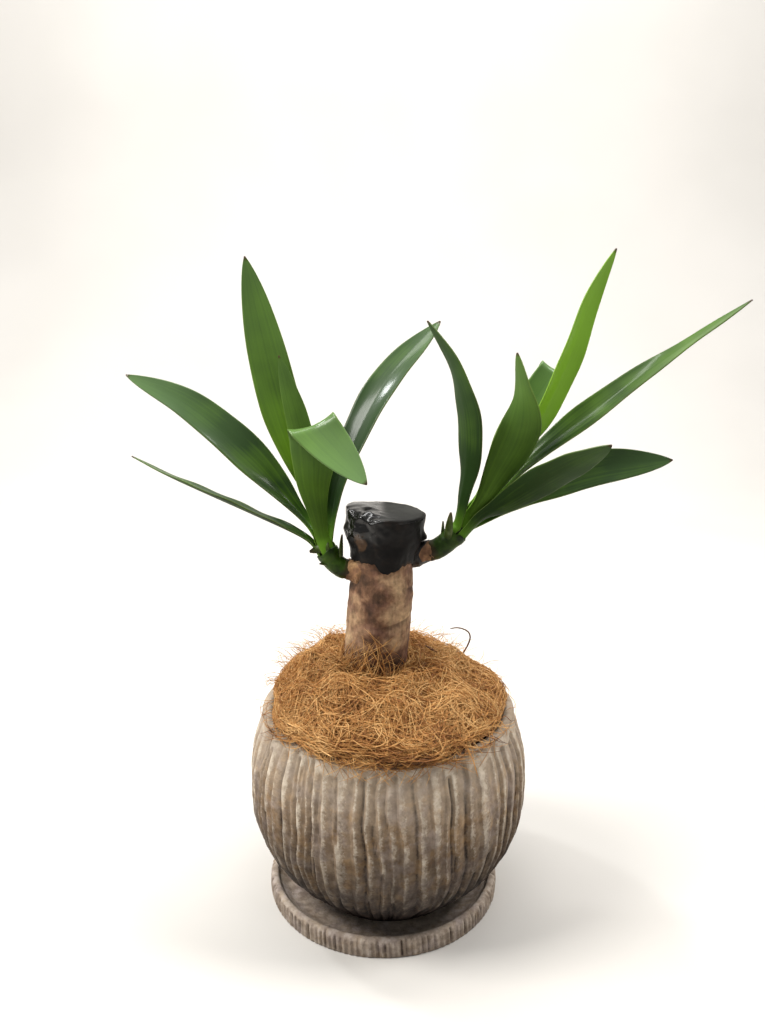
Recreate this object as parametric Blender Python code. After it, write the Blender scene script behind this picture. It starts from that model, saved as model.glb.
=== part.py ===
"""A potted yucca: a short cane with two leafy shoots, its cut top sealed black,
planted in a fluted stoneware pot with a coir mulch, standing on a saucer.

Metres, +Z up. The origin is the centre of the saucer's flat underside, and
-Y is the front.
"""
import math
import random
from collections import namedtuple

import bmesh
import bpy
from mathutils import Vector

MM = 0.001
GAP = 0.3 * MM

# Saucer
SAUCER_FOOT_RADIUS = 68.9 * MM
SAUCER_RADIUS = 69.2 * MM
SAUCER_HEIGHT = 11.5 * MM
SAUCER_LIP_WIDTH = 5.8 * MM
SAUCER_FLOOR_Z = 5.0 * MM
SAUCER_FLOOR_RADIUS = 56.0 * MM
SAUCER_NOTCHES = 56
SAUCER_NOTCH_DEPTH = 1.1 * MM

# Pot, turned on an axis a little to the right of the saucer's
POT_OFFSET_X = 2.7 * MM
POT_BOTTOM_Z = SAUCER_FLOOR_Z + GAP
POT_RIM_Z = 120.0 * MM
POT_RADII = tuple(r * MM for r in (46.5, 68.6, 79.6, 82.0, 80.2, 72.4))
POT_WALL = 8.5 * MM
POT_FLOOR = 9.0 * MM
POT_MOUTH_RADIUS = 62.0 * MM
POT_RIM_ROUND = 1.6 * MM
POT_DRAIN_RADIUS = 8.0 * MM
POT_RIBS = 64
POT_RIB_DEPTH = 1.6 * MM
POT_RIBS_END_Z = 108.0 * MM

# Soil and the coir on it
SOIL_TOP_Z = 108.0 * MM
SOIL_RISE = 2.5 * MM
COIR_BOTTOM_Z = SOIL_TOP_Z + SOIL_RISE + GAP
COIR_HEAP_Z = 145.0 * MM
COIR_EDGE_THICKNESS = 3.2 * MM
COIR_SIDE_REACH = 67.0 * MM
COIR_FRONT_REACH = 73.5 * MM
COIR_SIDES = 56
COIR_STRANDS = 30
COIR_SEED = 7

# Cane
CANE_RADIUS = 19.0 * MM
CANE_TOP_RADIUS = 17.6 * MM
CANE_TAPER = (187.0 * MM, 203.0 * MM)
CANE_LEAN = 0.076
CANE_X_AT_SOIL = -7.6 * MM
CANE_FOOT_Z = 45.0 * MM
CANE_TOP_Z = 232.5 * MM
CANE_RINGS = 9
BARK_RELIEF = 0.6 * MM
COLLAR_FLARE = 1.6 * MM

# Black sealant over the cut top
SEAL_RADIUS = 21.6 * MM
SEAL_EDGE_THICKNESS = 0.9 * MM
SEAL_TOP_Z = 236.5 * MM
SEAL_EDGE_Z = 209.4 * MM
SEAL_DRIP = 5.0 * MM
SEAL_DRIP_BEARING = math.radians(276)
SEAL_STUB_BEARING = math.radians(215)
SEAL_COLLAR_EDGE_Z = 220.4 * MM

# Shoots: a sheath of leaf bases in three layers round a stem that steps in
STEM_SIDES = 12
LAYER_RADII = tuple(r * MM for r in (5.1, 3.7, 2.3))
STEM_STEP_RADII = tuple(r * MM for r in (4.4, 3.0, 1.6))
LEAF_THICKNESS = 0.8 * MM
SHEATH_HALF_ANGLE = math.radians(43)
BLADE_HALF_ANGLE = math.radians(24)
TIP_HALF_ANGLE = math.radians(9)
LEAF_COLUMNS = 4
LEAF_TIP_HALF_WIDTH = 0.4 * MM

Shoot = namedtuple("Shoot", "name radius root axis layer_starts bud_end")
Leaf = namedtuple(
    "Leaf", "shoot azimuth layer sheath_end width widest centre facing tip_facing fold stations")
Fold = namedtuple("Fold", "point crease angle radius")
Bract = namedtuple("Bract", "base tip width facing")

LEFT_SHOOT = Shoot(
    name="left",
    radius=5.7 * MM,
    root=(-10, -3, 201),
    axis=((-20.9, -3, 202.3), (-23.5, -3, 203), (-28.5, -3, 207.4), (-32.6, -3, 215),
          (-35.9, -2, 223.4), (-38, -1, 232.9), (-39.6, 0, 242.4)),
    layer_starts=(13 * MM, 18 * MM, 24 * MM),
    bud_end=31 * MM,
)
RIGHT_SHOOT = Shoot(
    name="right",
    radius=5.9 * MM,
    root=(12, 0, 209.5),
    axis=((27.6, 0, 212.4), (30.6, 0, 213.5), (36, 0, 217.6), (43.2, 0, 225.2),
          (49.1, 0, 234.4), (55.5, 1, 244.4), (62.5, 2, 255.5)),
    layer_starts=(14 * MM, 21 * MM, 28 * MM),
    bud_end=36 * MM,
)

# Azimuths turn round a shoot from its front, through its right or lower side.
# Centre points run along the midrib from just above the sheath to the tip, in
# millimetres, and "facing" is where the upper face looks at mid-blade.
LEAVES = {
    "left_leaf_1": Leaf(
        LEFT_SHOOT, 225, 1, 27, 21.5, 0.42,
        ((-47, 5, 233), (-75, 13, 263.5), (-110, 21, 291.5), (-145, 26, 307.5)),
        (0.3, -0.85, 0.45), None, None, 17),
    "left_leaf_2": Leaf(
        LEFT_SHOOT, 270, 0, 20, 19, 0.42,
        ((-46, -5, 222.5), (-72, -9, 236.5), (-111, -14, 256.5), (-133, -15, 269)),
        (0.43, 0.2, 0.86), None, None, 16),
    "left_leaf_3": Leaf(
        LEFT_SHOOT, 185, 2, 34, 23, 0.45,
        ((-41, 5, 242), (-49, 9, 265), (-59.5, 15, 301), (-68, 19, 338), (-75, 21, 371.5)),
        (0.1, -0.95, 0.2), None, None, 18),
    "left_leaf_4": Leaf(
        LEFT_SHOOT, 50, 2, 34, 13.5, 0.4,
        ((-38.5, 2, 250), (-46, 4.5, 281), (-51, 6, 300), (-56.5, 8, 319.5)),
        (0, 1, 0), None, None, 14),
    "left_leaf_5": Leaf(
        LEFT_SHOOT, 20, 0, 25, 25, 0.5,
        ((-35, -9, 232), (-37.5, -12, 251), (-37.5, -13, 268), (-38, -13.5, 300), (-38.5, -14, 333)),
        (0, 1, 0.05), None,
        Fold((-36.3, -13.5, 281.5), (0.927, 0, 0.375), 150, 4), 27),
    "left_leaf_6": Leaf(
        LEFT_SHOOT, 140, 0, 21, 21, 0.58,
        ((-28.3, 4, 235.7), (-24.5, 8, 252), (-12.8, 19, 280), (5, 34, 308), (33, 52, 336)),
        (-0.55, -0.75, 0.35), None, None, 16),
    "right_leaf_1": Leaf(
        RIGHT_SHOOT, 300, 0, 22, 20, 0.5,
        ((42.8, -6, 243.8), (45.2, -9.5, 265), (43.1, -13.5, 292), (35.5, -15, 317.5), (22.5, -15, 339)),
        (0.8, 0.6, 0), (0.96, 0.28, 0), None, 16),
    "right_leaf_2": Leaf(
        RIGHT_SHOOT, 350, 1, 31, 22, 0.5,
        ((53.6, -8, 243), (61.5, -12, 259.5), (69.7, -15, 277.4), (72.5, -19, 296), (67.6, -24, 323.5)),
        (0, 1, 0), (0.85, 0.3, 0.2), None, 16),
    "right_leaf_3": Leaf(
        RIGHT_SHOOT, 205, 1, 33, 20, 0.5,
        ((55.5, 7.5, 245), (67.5, 13, 270), (83, 21, 290.5), (95.5, 27, 307.5), (121, 37, 341)),
        (0.1, -0.95, 0.3), None,
        Fold((95.7, 27, 307.5), (0.825, 0.085, -0.56), 150, 4), 27),
    "right_leaf_4": Leaf(
        RIGHT_SHOOT, 255, 2, 42, 16.5, 0.5,
        ((61.5, 2, 255), (82.4, 5, 279), (99.8, 8, 315.5), (111.6, 10, 350), (122.8, 10, 375)),
        (0.5, -0.84, -0.2), None, None, 16),
    "right_leaf_5": Leaf(
        RIGHT_SHOOT, 105, 1, 33, 16, 0.45,
        ((67.5, 5, 248), (82, 7, 263), (107, 9, 283.5), (140.2, 10, 308.5), (196.6, 10, 349)),
        (-0.4, -0.67, 0.62), (-0.52, -0.15, 0.84), None, 19),
    "right_leaf_6": Leaf(
        RIGHT_SHOOT, 40, 0, 22, 20, 0.5,
        ((54.3, -7, 233.5), (68, -12, 243), (82, -23, 255.5), (97, -42, 270.5), (108.5, -60, 283)),
        (-0.2, 0.95, 0.1), None, None, 16),
    "right_leaf_7": Leaf(
        RIGHT_SHOOT, 150, 0, 22, 21.5, 0.52,
        ((55.3, 4, 230.5), (70, 6, 239.3), (87.6, 8, 247.8), (119.3, 10, 257.5), (160.8, 8, 262.2)),
        (-0.1, -0.9, 0.35), None, None, 17),
}

BRACTS = {
    "left": (
        Bract((-23.5, -3.5, 207), (-23.3, -4, 222.5), 5, (-0.9, 0.3, 0)),
        Bract((-30.5, -5, 205), (-35.5, -6, 206.5), 5, (0.5, 0.2, 0.8)),
    ),
    "right": (
        Bract((35.2, -4.4, 219.2), (37, -8, 236.3), 4.5, (0.5, 0.85, 0)),
        Bract((32.5, 1.5, 219), (33.5, 2, 228.5), 4, (0.8, -0.3, -0.4)),
    ),
}


def smooth(value):
    """Ease from 0 to 1 as value does, flat at both ends and clamped."""
    value = max(0.0, min(1.0, value))
    return value * value * (3 - 2 * value)


def mix(first, second, share):
    return first + (second - first) * share


def srgb(code):
    """Linear colour of a six-digit sRGB code."""
    parts = [int(code[i:i + 2], 16) / 255 for i in (0, 2, 4)]
    return [p / 12.92 if p <= 0.04045 else ((p + 0.055) / 1.055) ** 2.4 for p in parts] + [1.0]


def make_material(name, code, roughness):
    material = bpy.data.materials.new(name)
    material.use_nodes = True
    shader = material.node_tree.nodes["Principled BSDF"]
    shader.inputs["Base Color"].default_value = srgb(code)
    shader.inputs["Roughness"].default_value = roughness
    shader.inputs["Metallic"].default_value = 0.0
    return material


def make_object(name, mesh, material):
    """An object of this bmesh or mesh, its faces turned out, in the scene."""
    if isinstance(mesh, bmesh.types.BMesh):
        bmesh.ops.recalc_face_normals(mesh, faces=mesh.faces)
        data = bpy.data.meshes.new(name)
        mesh.to_mesh(data)
        mesh.free()
        mesh = data
    mesh.materials.clear()
    mesh.materials.append(material)
    mesh.shade_smooth()
    mesh.set_sharp_from_angle(angle=math.radians(35))
    item = bpy.data.objects.new(name, mesh)
    bpy.context.scene.collection.objects.link(item)
    return item


def clear_scene():
    for item in list(bpy.data.objects):
        bpy.data.objects.remove(item, do_unlink=True)


def spline(points, steps=12):
    """Catmull-Rom curve through the points, as a list of points."""
    ends = [points[0] * 2 - points[1]] + list(points) + [points[-1] * 2 - points[-2]]
    curve = []
    for a, b, c, d in zip(ends, ends[1:], ends[2:], ends[3:]):
        for step in range(steps):
            t = step / steps
            curve.append(0.5 * (2 * b + (c - a) * t + (2 * a - 5 * b + 4 * c - d) * t ** 2
                                + (3 * b - a - 3 * c + d) * t ** 3))
    curve.append(points[-1].copy())
    return curve


class Path:
    """A smooth curve read by the distance along it."""

    def __init__(self, points):
        self.points = spline(points)
        self.lengths = [0.0]
        for a, b in zip(self.points, self.points[1:]):
            self.lengths.append(self.lengths[-1] + (b - a).length)
        self.length = self.lengths[-1]

    def point(self, distance):
        index = 0
        while index < len(self.lengths) - 2 and self.lengths[index + 1] < distance:
            index += 1
        span = self.lengths[index + 1] - self.lengths[index]
        share = (distance - self.lengths[index]) / span
        return mix(self.points[index], self.points[index + 1], share)

    def tangent(self, distance):
        step = 1 * MM
        return (self.point(distance + step) - self.point(distance - step)).normalized()


def add_ring(mesh, points):
    return [mesh.verts.new(p) for p in points]


def join_rings(mesh, first, second):
    count = len(first)
    for i in range(count):
        j = (i + 1) % count
        mesh.faces.new((first[i], first[j], second[j], second[i]))


def join_double_ring(mesh, fine, coarse):
    """Join a ring to one with half as many points."""
    count = len(coarse)
    for i in range(count):
        j = (i + 1) % count
        here, between, after = fine[2 * i], fine[2 * i + 1], fine[(2 * i + 2) % (2 * count)]
        mesh.faces.new((here, between, coarse[i]))
        mesh.faces.new((between, after, coarse[j]))
        mesh.faces.new((between, coarse[j], coarse[i]))


def loft(rings, looped=False):
    """A closed solid through rings of equal counts, looped or with flat ends."""
    mesh = bmesh.new()
    made = [add_ring(mesh, ring) for ring in rings]
    for first, second in zip(made, made[1:]):
        join_rings(mesh, first, second)
    if looped:
        join_rings(mesh, made[-1], made[0])
    else:
        mesh.faces.new(made[0])
        mesh.faces.new(made[-1])
    return mesh


def circle(radius, z, count, centre_x=0.0):
    turn = 2 * math.pi / count
    return [Vector((centre_x + radius * math.cos(turn * k), radius * math.sin(turn * k), z))
            for k in range(count)]


def combine(name, base, parts, material):
    """One body from an object and the objects that grow from it."""
    group = bpy.data.collections.new(name + "_parts")
    bpy.context.scene.collection.children.link(group)
    for part in parts:
        bpy.context.scene.collection.objects.unlink(part)
        group.objects.link(part)
    union = base.modifiers.new("union", "BOOLEAN")
    union.operation = "UNION"
    union.operand_type = "COLLECTION"
    union.collection = group
    union.solver = "EXACT"
    union.use_self = True
    view = bpy.context.evaluated_depsgraph_get()
    mesh = bpy.data.meshes.new_from_object(base.evaluated_get(view))
    for part in list(group.objects):
        bpy.data.objects.remove(part, do_unlink=True)
    bpy.data.collections.remove(group)
    bpy.data.objects.remove(base, do_unlink=True)
    return make_object(name, mesh, material)


def build_saucer():
    """A shallow dish with a rounded lip and a finely notched outer wall."""
    count = 2 * SAUCER_NOTCHES
    lip_inner = SAUCER_RADIUS - SAUCER_LIP_WIDTH
    wall = ((SAUCER_FOOT_RADIUS, 0.0, 0.0), (SAUCER_RADIUS - 0.4 * MM, 2.2 * MM, 1.0),
            (SAUCER_RADIUS, 7.5 * MM, 1.0), (SAUCER_RADIUS - 1.6 * MM, SAUCER_HEIGHT - 0.6 * MM, 0.4),
            (SAUCER_RADIUS - 3.2 * MM, SAUCER_HEIGHT, 0.0), (lip_inner, SAUCER_HEIGHT - 1.4 * MM, 0.0),
            (SAUCER_FLOOR_RADIUS, SAUCER_FLOOR_Z, 0.0))
    rings = []
    for radius, z, notched in wall:
        ring = circle(radius, z, count)
        for k in range(1, count, 2):
            ring[k] *= 1 - notched * SAUCER_NOTCH_DEPTH / radius
            ring[k].z = z
        rings.append(ring)
    return make_object("saucer", loft(rings), make_material("saucer_stoneware", "6B655D", 0.6))


def pot_radius(z):
    """The pot's turned outline, through its radii at even heights."""
    place = (z - POT_BOTTOM_Z) / (POT_RIM_Z - POT_BOTTOM_Z) * (len(POT_RADII) - 1)
    index = max(0, min(len(POT_RADII) - 2, int(place)))
    t = place - index
    low = POT_RADII[index - 1] if index else 2 * POT_RADII[0] - POT_RADII[1]
    a, b = POT_RADII[index], POT_RADII[index + 1]
    last = index + 2 >= len(POT_RADII)
    high = 2 * b - a if last else POT_RADII[index + 2]
    return 0.5 * (2 * a + (b - low) * t + (2 * low - 5 * a + 4 * b - high) * t ** 2
                  + (3 * a - low - 3 * b + high) * t ** 3)


def pot_inner_radius(z):
    return min(pot_radius(z) - POT_WALL, mix(POT_RADII[-2] - POT_WALL, POT_MOUTH_RADIUS,
                                            smooth((z - 0.8 * POT_RIM_Z) / (0.2 * POT_RIM_Z))))


def pot_ring(z):
    """The outside at one height, with the hand-cut ribs wandering a little."""
    count = 2 * POT_RIBS
    depth = POT_RIB_DEPTH * smooth((POT_RIBS_END_Z - z) / (14 * MM)) * smooth(z / (22 * MM))
    ring = []
    for k in range(count):
        turn = 2 * math.pi * k / count
        turn += 0.012 * math.sin(3 * turn + 45 * z) + 0.008 * math.sin(11 * turn - 60 * z)
        radius = pot_radius(z) - (depth if k % 2 else 0.0)
        ring.append(Vector((POT_OFFSET_X + radius * math.cos(turn), radius * math.sin(turn), z)))
    return ring


def build_pot():
    """A thick round-bellied pot: ribbed below, smooth at the shoulder and rim."""
    half = POT_RIBS
    mesh = bmesh.new()
    levels = [POT_BOTTOM_Z] + [z * MM for z in (15, 28, 44, 64, 84, 99, 108, 115)]
    outside = [add_ring(mesh, pot_ring(z)) for z in levels]
    edge = circle(pot_radius(POT_RIM_Z) - 0.4 * MM, POT_RIM_Z - POT_RIM_ROUND, 2 * half, POT_OFFSET_X)
    outside.append(add_ring(mesh, edge))
    crown = circle(pot_radius(POT_RIM_Z) - 2 * MM, POT_RIM_Z, 2 * half, POT_OFFSET_X)
    outside.append(add_ring(mesh, crown))
    for first, second in zip(outside, outside[1:]):
        join_rings(mesh, first, second)

    floor_z = POT_BOTTOM_Z + POT_FLOOR
    floor_radius = pot_inner_radius(floor_z) - 2 * MM
    inside = [circle(POT_MOUTH_RADIUS, POT_RIM_Z, half, POT_OFFSET_X)]
    for z in (112 * MM, 98 * MM, 76 * MM, 50 * MM, 30 * MM):
        inside.append(circle(pot_inner_radius(z), z, half, POT_OFFSET_X))
    inside.append(circle(floor_radius, floor_z, half, POT_OFFSET_X))
    inside.append(circle(POT_DRAIN_RADIUS, floor_z, half, POT_OFFSET_X))
    inside.append(circle(POT_DRAIN_RADIUS, POT_BOTTOM_Z, half, POT_OFFSET_X))
    inside = [add_ring(mesh, ring) for ring in inside]
    for first, second in zip(inside, inside[1:]):
        join_rings(mesh, first, second)
    join_double_ring(mesh, outside[-1], inside[0])
    join_double_ring(mesh, outside[0], inside[-1])
    return make_object("pot", mesh, make_material("pot_stoneware", "8F8072", 0.75))


def cane_x(z):
    """The leaning cane's centre at a height."""
    return CANE_X_AT_SOIL + CANE_LEAN * (z - SOIL_TOP_Z)


def cane_radius(z):
    low, high = CANE_TAPER
    return mix(CANE_RADIUS, CANE_TOP_RADIUS, smooth((z - low) / (high - low)))


def clearance(radius, count):
    """Radius of a hole with this many sides that stays clear of a round body."""
    return (radius + GAP) / math.cos(math.pi / count)


def build_soil():
    """The soil, with a plain hole down to the cane's foot."""
    count = 40
    clear = clearance(CANE_RADIUS, count)
    bottom_z = POT_BOTTOM_Z + POT_FLOOR + GAP
    rings = [circle(clear, CANE_FOOT_Z - GAP, count, cane_x(CANE_FOOT_Z)),
             circle(clear, SOIL_TOP_Z + SOIL_RISE, count, cane_x(SOIL_TOP_Z + SOIL_RISE))]
    rings.append(circle(46 * MM, SOIL_TOP_Z + 1 * MM, count, POT_OFFSET_X))
    for z in (SOIL_TOP_Z, 98 * MM, 76 * MM, 50 * MM, 30 * MM):
        rings.append(circle(pot_inner_radius(z) - 3 * GAP, z, count, POT_OFFSET_X))
    rings.append(circle(pot_inner_radius(bottom_z) - 3.2 * MM, bottom_z, count, POT_OFFSET_X))
    return make_object("potting_soil", loft(rings), make_material("potting_soil", "3A2A1E", 0.95))


def from_cane(turn, reach):
    """Distance from the cane, along a bearing, to a circle about the pot's axis."""
    offset = POT_OFFSET_X - cane_x(POT_RIM_Z)
    along = offset * math.cos(turn)
    across = offset * math.sin(turn)
    return along + math.sqrt(reach ** 2 - across ** 2)


def coir_point(turn, distance, z):
    return Vector((cane_x(POT_RIM_Z) + distance * math.cos(turn), distance * math.sin(turn), z))


def coir_reach(turn):
    front = max(0.0, -math.sin(turn)) ** 2
    ragged = 1.2 * MM * math.sin(5 * turn + 1) + 0.9 * MM * math.sin(9 * turn)
    return from_cane(turn, mix(COIR_SIDE_REACH, COIR_FRONT_REACH, front)) + ragged


def coir_top(turn, share):
    """Height of the heap at a share of the way from the cane to its edge."""
    edge_z = POT_RIM_Z + GAP + COIR_EDGE_THICKNESS
    slope = 1 - share ** 2
    lumps = math.sin(7 * turn + 9 * share) + math.sin(4 * turn - 14 * share + 2)
    return mix(edge_z, COIR_HEAP_Z, slope) + 1.4 * MM * lumps * math.sin(math.pi * share)


def coir_surface(turn, share):
    """A point on the heap, which follows the cane's lean where it meets it."""
    start = clearance(CANE_RADIUS, COIR_SIDES)
    point = coir_point(turn, mix(start, coir_reach(turn), share), coir_top(turn, share))
    point.x += (1 - share) * (cane_x(point.z) - cane_x(POT_RIM_Z))
    return point


def build_coir_heap():
    turns = [2 * math.pi * k / COIR_SIDES for k in range(COIR_SIDES)]
    hole = clearance(CANE_RADIUS, COIR_SIDES)
    mouth = POT_MOUTH_RADIUS - 2 * GAP
    over_rim = POT_RIM_Z + GAP
    rings = [circle(hole, COIR_BOTTOM_Z, COIR_SIDES, cane_x(COIR_BOTTOM_Z))]
    for share in (0.0, 0.18, 0.4, 0.62, 0.82, 0.95):
        rings.append([coir_surface(t, share) for t in turns])
    rings.append([coir_point(t, coir_reach(t), over_rim + 0.45 * COIR_EDGE_THICKNESS) for t in turns])
    rings.append([coir_point(t, coir_reach(t) - 1.2 * MM, over_rim) for t in turns])
    rings.append([coir_point(t, from_cane(t, mouth), over_rim) for t in turns])
    rings.append([coir_point(t, from_cane(t, mouth), COIR_BOTTOM_Z) for t in turns])
    return loft(rings, looped=True)


def coir_strand(draw):
    """One coarse fibre arching over the heap, both ends sunk in it."""
    turn = draw.uniform(0, 2 * math.pi)
    share = draw.uniform(0.2, 0.86)
    heading = draw.uniform(-1, 1)
    arc = draw.uniform(0.18, 0.42)
    lift = draw.uniform(1.2, 3.2) * MM
    steps = 4
    points = []
    for k in range(steps + 1):
        t = k / steps - 0.5
        place = max(0.14, min(0.9, share + 0.5 * heading * t))
        point = coir_surface(turn + arc * 2 * t, place)
        point.z += lift * (1 - (2 * t) ** 2) - 1.6 * MM * (2 * t) ** 4 - 0.4 * MM
        points.append(point)
    return tube(points, draw.uniform(0.55, 0.8) * MM, 3)


def tube(points, radius, sides):
    """A thin closed tube along points."""
    rings = []
    for k, point in enumerate(points):
        ahead = points[min(k + 1, len(points) - 1)] - points[max(k - 1, 0)]
        across = ahead.cross(Vector((0, 0, 1))).normalized()
        rise = across.cross(ahead).normalized()
        rings.append([point + radius * (math.cos(2 * math.pi * s / sides) * rise
                                        + math.sin(2 * math.pi * s / sides) * across)
                      for s in range(sides)])
    return loft(rings)


def build_coir():
    """A heap of coir round the cane, spilling over the rim at the front."""
    material = make_material("coir_fibre", "B07F48", 0.9)
    heap = make_object("coir_heap", build_coir_heap(), material)
    draw = random.Random(COIR_SEED)
    strands = [make_object("strand_%02d" % k, coir_strand(draw), material) for k in range(COIR_STRANDS)]
    return combine("coir_mulch", heap, strands, material)


def build_collar(shoot, bark):
    """The short knob of bark that a shoot grew from, its end square to the shoot."""
    path = shoot_path(shoot)
    root = Vector(shoot.root) * MM
    end = path.point(0.0) - GAP * path.tangent(0.0)
    rings = []
    for centre, radius in ((root, shoot.radius + COLLAR_FLARE), (end, shoot.radius + GAP)):
        rings.append([centre + radius * outward(path, 0.0, 360 * s / STEM_SIDES)
                      for s in range(STEM_SIDES)])
    return make_object("collar_" + shoot.name, loft(rings), bark)


def build_cane():
    """The leaning cane with ring scars, and a collar for each shoot."""
    count = 28
    rows = 22
    rings = []
    for row in range(rows + 1):
        z = mix(CANE_FOOT_Z, CANE_TOP_Z, row / rows)
        phase = CANE_RINGS * row / rows
        ring = []
        for k in range(count):
            turn = 2 * math.pi * k / count
            scar = 0.5 + 0.5 * math.cos(2 * math.pi * phase + 1.3 * math.sin(turn + 1))
            uneven = 0.5 + 0.25 * (math.sin(3 * turn + 50 * z) + math.sin(5 * turn - 80 * z))
            radius = cane_radius(z) - BARK_RELIEF * (0.6 * scar + 0.4 * uneven)
            ring.append(Vector((cane_x(z) + radius * math.cos(turn), radius * math.sin(turn), z)))
        rings.append(ring)
    bark = make_material("cane_bark", "7A6048", 0.85)
    cane = make_object("cane_body", loft(rings), bark)
    collars = [build_collar(shoot, bark) for shoot in (LEFT_SHOOT, RIGHT_SHOOT)]
    return combine("cane", cane, collars, bark)


def turned_from(turn, bearing):
    """Angle between two bearings, from 0 to half a turn."""
    return abs(math.remainder(turn - bearing, 2 * math.pi))


def seal_edge(turn):
    """Height of the sealant's ragged lower edge at a bearing."""
    drip = math.exp(-(turned_from(turn, SEAL_DRIP_BEARING) / 0.42) ** 2)
    collar = smooth(1.55 - turned_from(turn, 0.0) / 0.42)
    ragged = 0.6 * MM * math.sin(5 * turn + 0.6) + 0.4 * MM * math.sin(9 * turn + 2)
    return mix(SEAL_EDGE_Z - SEAL_DRIP * drip + ragged, SEAL_COLLAR_EDGE_Z, collar)


def seal_radius(turn, z):
    """The brushed-on coat: thin at its edge, thickest at a sealed stub at the front left."""
    stub = math.exp(-(turned_from(turn, SEAL_STUB_BEARING) / 0.42) ** 2
                    - ((z - 224 * MM) / (8 * MM)) ** 2)
    flare = math.exp(-(turned_from(turn, 0.0) / 0.35) ** 2 - ((z - 221 * MM) / (4 * MM)) ** 2)
    lumps = 0.25 * MM * (math.sin(4 * turn + 300 * z) + math.sin(7 * turn - 420 * z))
    thin = smooth((z - seal_edge(turn)) / (13 * MM))
    edge_radius = CANE_TOP_RADIUS + GAP + SEAL_EDGE_THICKNESS
    return mix(edge_radius, SEAL_RADIUS, thin) + 1.8 * MM * stub + 3 * MM * flare + lumps * thin


def build_seal():
    """A cap of black wound sealant over the top of the cane, clear of the bark."""
    count = 36
    turns = [2 * math.pi * k / count for k in range(count)]
    clear = clearance(CANE_TOP_RADIUS, count)
    ceiling = CANE_TOP_Z + GAP

    def at(turn, radius, z):
        return Vector((cane_x(z) + radius * math.cos(turn), radius * math.sin(turn), z))

    crown = SEAL_TOP_Z - 2.5 * MM
    rings = [[at(t, clear, ceiling) for t in turns], [at(t, clear, seal_edge(t)) for t in turns]]
    for share in (0.0, 0.2, 0.42, 0.62, 0.82, 1.0):
        rings.append([at(t, seal_radius(t, mix(seal_edge(t), crown, share)), mix(seal_edge(t), crown, share))
                      for t in turns])
    rings.append([at(t, seal_radius(t, crown) - 1.2 * MM, SEAL_TOP_Z - 0.6 * MM) for t in turns])
    rings.append([at(t, 14 * MM, SEAL_TOP_Z - 0.4 * MM - 0.5 * MM * math.sin(2 * t)) for t in turns])
    return make_object("wound_sealant", loft(rings), make_material("wound_sealant", "1E1D1C", 0.35))


def shoot_path(shoot):
    return Path([Vector(p) * MM for p in shoot.axis])


def outward(path, distance, azimuth):
    """Unit vector away from a shoot's axis at an azimuth."""
    tangent = path.tangent(distance)
    side = tangent.cross(Vector((0, -1, 0))).normalized()
    front = side.cross(tangent)
    turn = math.radians(azimuth)
    return front * math.cos(turn) + side * math.sin(turn)


def stem_ring(path, distance, radius):
    return [path.point(distance) + radius * outward(path, distance, 360 * s / STEM_SIDES)
            for s in range(STEM_SIDES)]


def blade_half_width(leaf, share):
    """Half-width at a share of the blade: from the sheath's, to the widest, to the tip."""
    base = LAYER_RADII[leaf.layer] * SHEATH_HALF_ANGLE
    full = leaf.width * MM / 2
    if share < leaf.widest:
        return mix(base, full, smooth(share / leaf.widest))
    past = (share - leaf.widest) / (1 - leaf.widest)
    return max(LEAF_TIP_HALF_WIDTH, full * max(0.0, 1 - past ** 2.3) ** 0.8)


def fold_point(point, fold, upward, underside):
    """Bend what lies past a crease over, towards the blade's underside."""
    crease = Vector(fold.crease).normalized()
    ahead = (upward - crease * upward.dot(crease)).normalized()
    over = crease.cross(ahead)
    if over.dot(underside) < 0:
        over.negate()
    offset = point - Vector(fold.point) * MM
    past = offset.dot(ahead)
    if past <= 0:
        return point
    radius = fold.radius * MM
    full = math.radians(fold.angle)
    angle = min(past / radius, full)
    depth = radius - offset.dot(over)
    rest = max(0.0, past - radius * full)
    bent = ahead * (depth * math.sin(angle)) + over * (radius - depth * math.cos(angle))
    bent += (ahead * math.cos(full) + over * math.sin(full)) * rest
    return Vector(fold.point) * MM + crease * offset.dot(crease) + bent


def blade_mesh(sections):
    """A thin closed blade from sections of paired under and upper points.

    Both faces are split along like diagonals, so they stay parallel."""
    mesh = bmesh.new()
    rows = [([mesh.verts.new(p) for p in under], [mesh.verts.new(p) for p in upper])
            for under, upper in sections]
    columns = len(rows[0][0]) - 1
    for (under, upper), (next_under, next_upper) in zip(rows, rows[1:]):
        for j in range(columns):
            for face, after in ((under, next_under), (upper, next_upper)):
                mesh.faces.new((face[j], face[j + 1], after[j + 1]))
                mesh.faces.new((face[j], after[j + 1], after[j]))
        for edge in (0, columns):
            mesh.faces.new((under[edge], next_under[edge], next_upper[edge], upper[edge]))
    for under, upper in (rows[0], rows[-1]):
        for j in range(columns):
            mesh.faces.new((under[j], under[j + 1], upper[j + 1], upper[j]))
    return mesh


def leaf_section(centre, upper_normal, across, half_width, half_angle):
    """Under and upper points of a section: an arc, cupped to the upper side."""
    bend = half_width / half_angle
    middle = centre + upper_normal * bend
    under, upper = [], []
    for j in range(LEAF_COLUMNS + 1):
        angle = half_angle * (2 * j / LEAF_COLUMNS - 1)
        ray = across * math.sin(angle) - upper_normal * math.cos(angle)
        upper.append(middle + ray * bend)
        under.append(middle + ray * (bend + LEAF_THICKNESS))
    return under, upper


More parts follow.
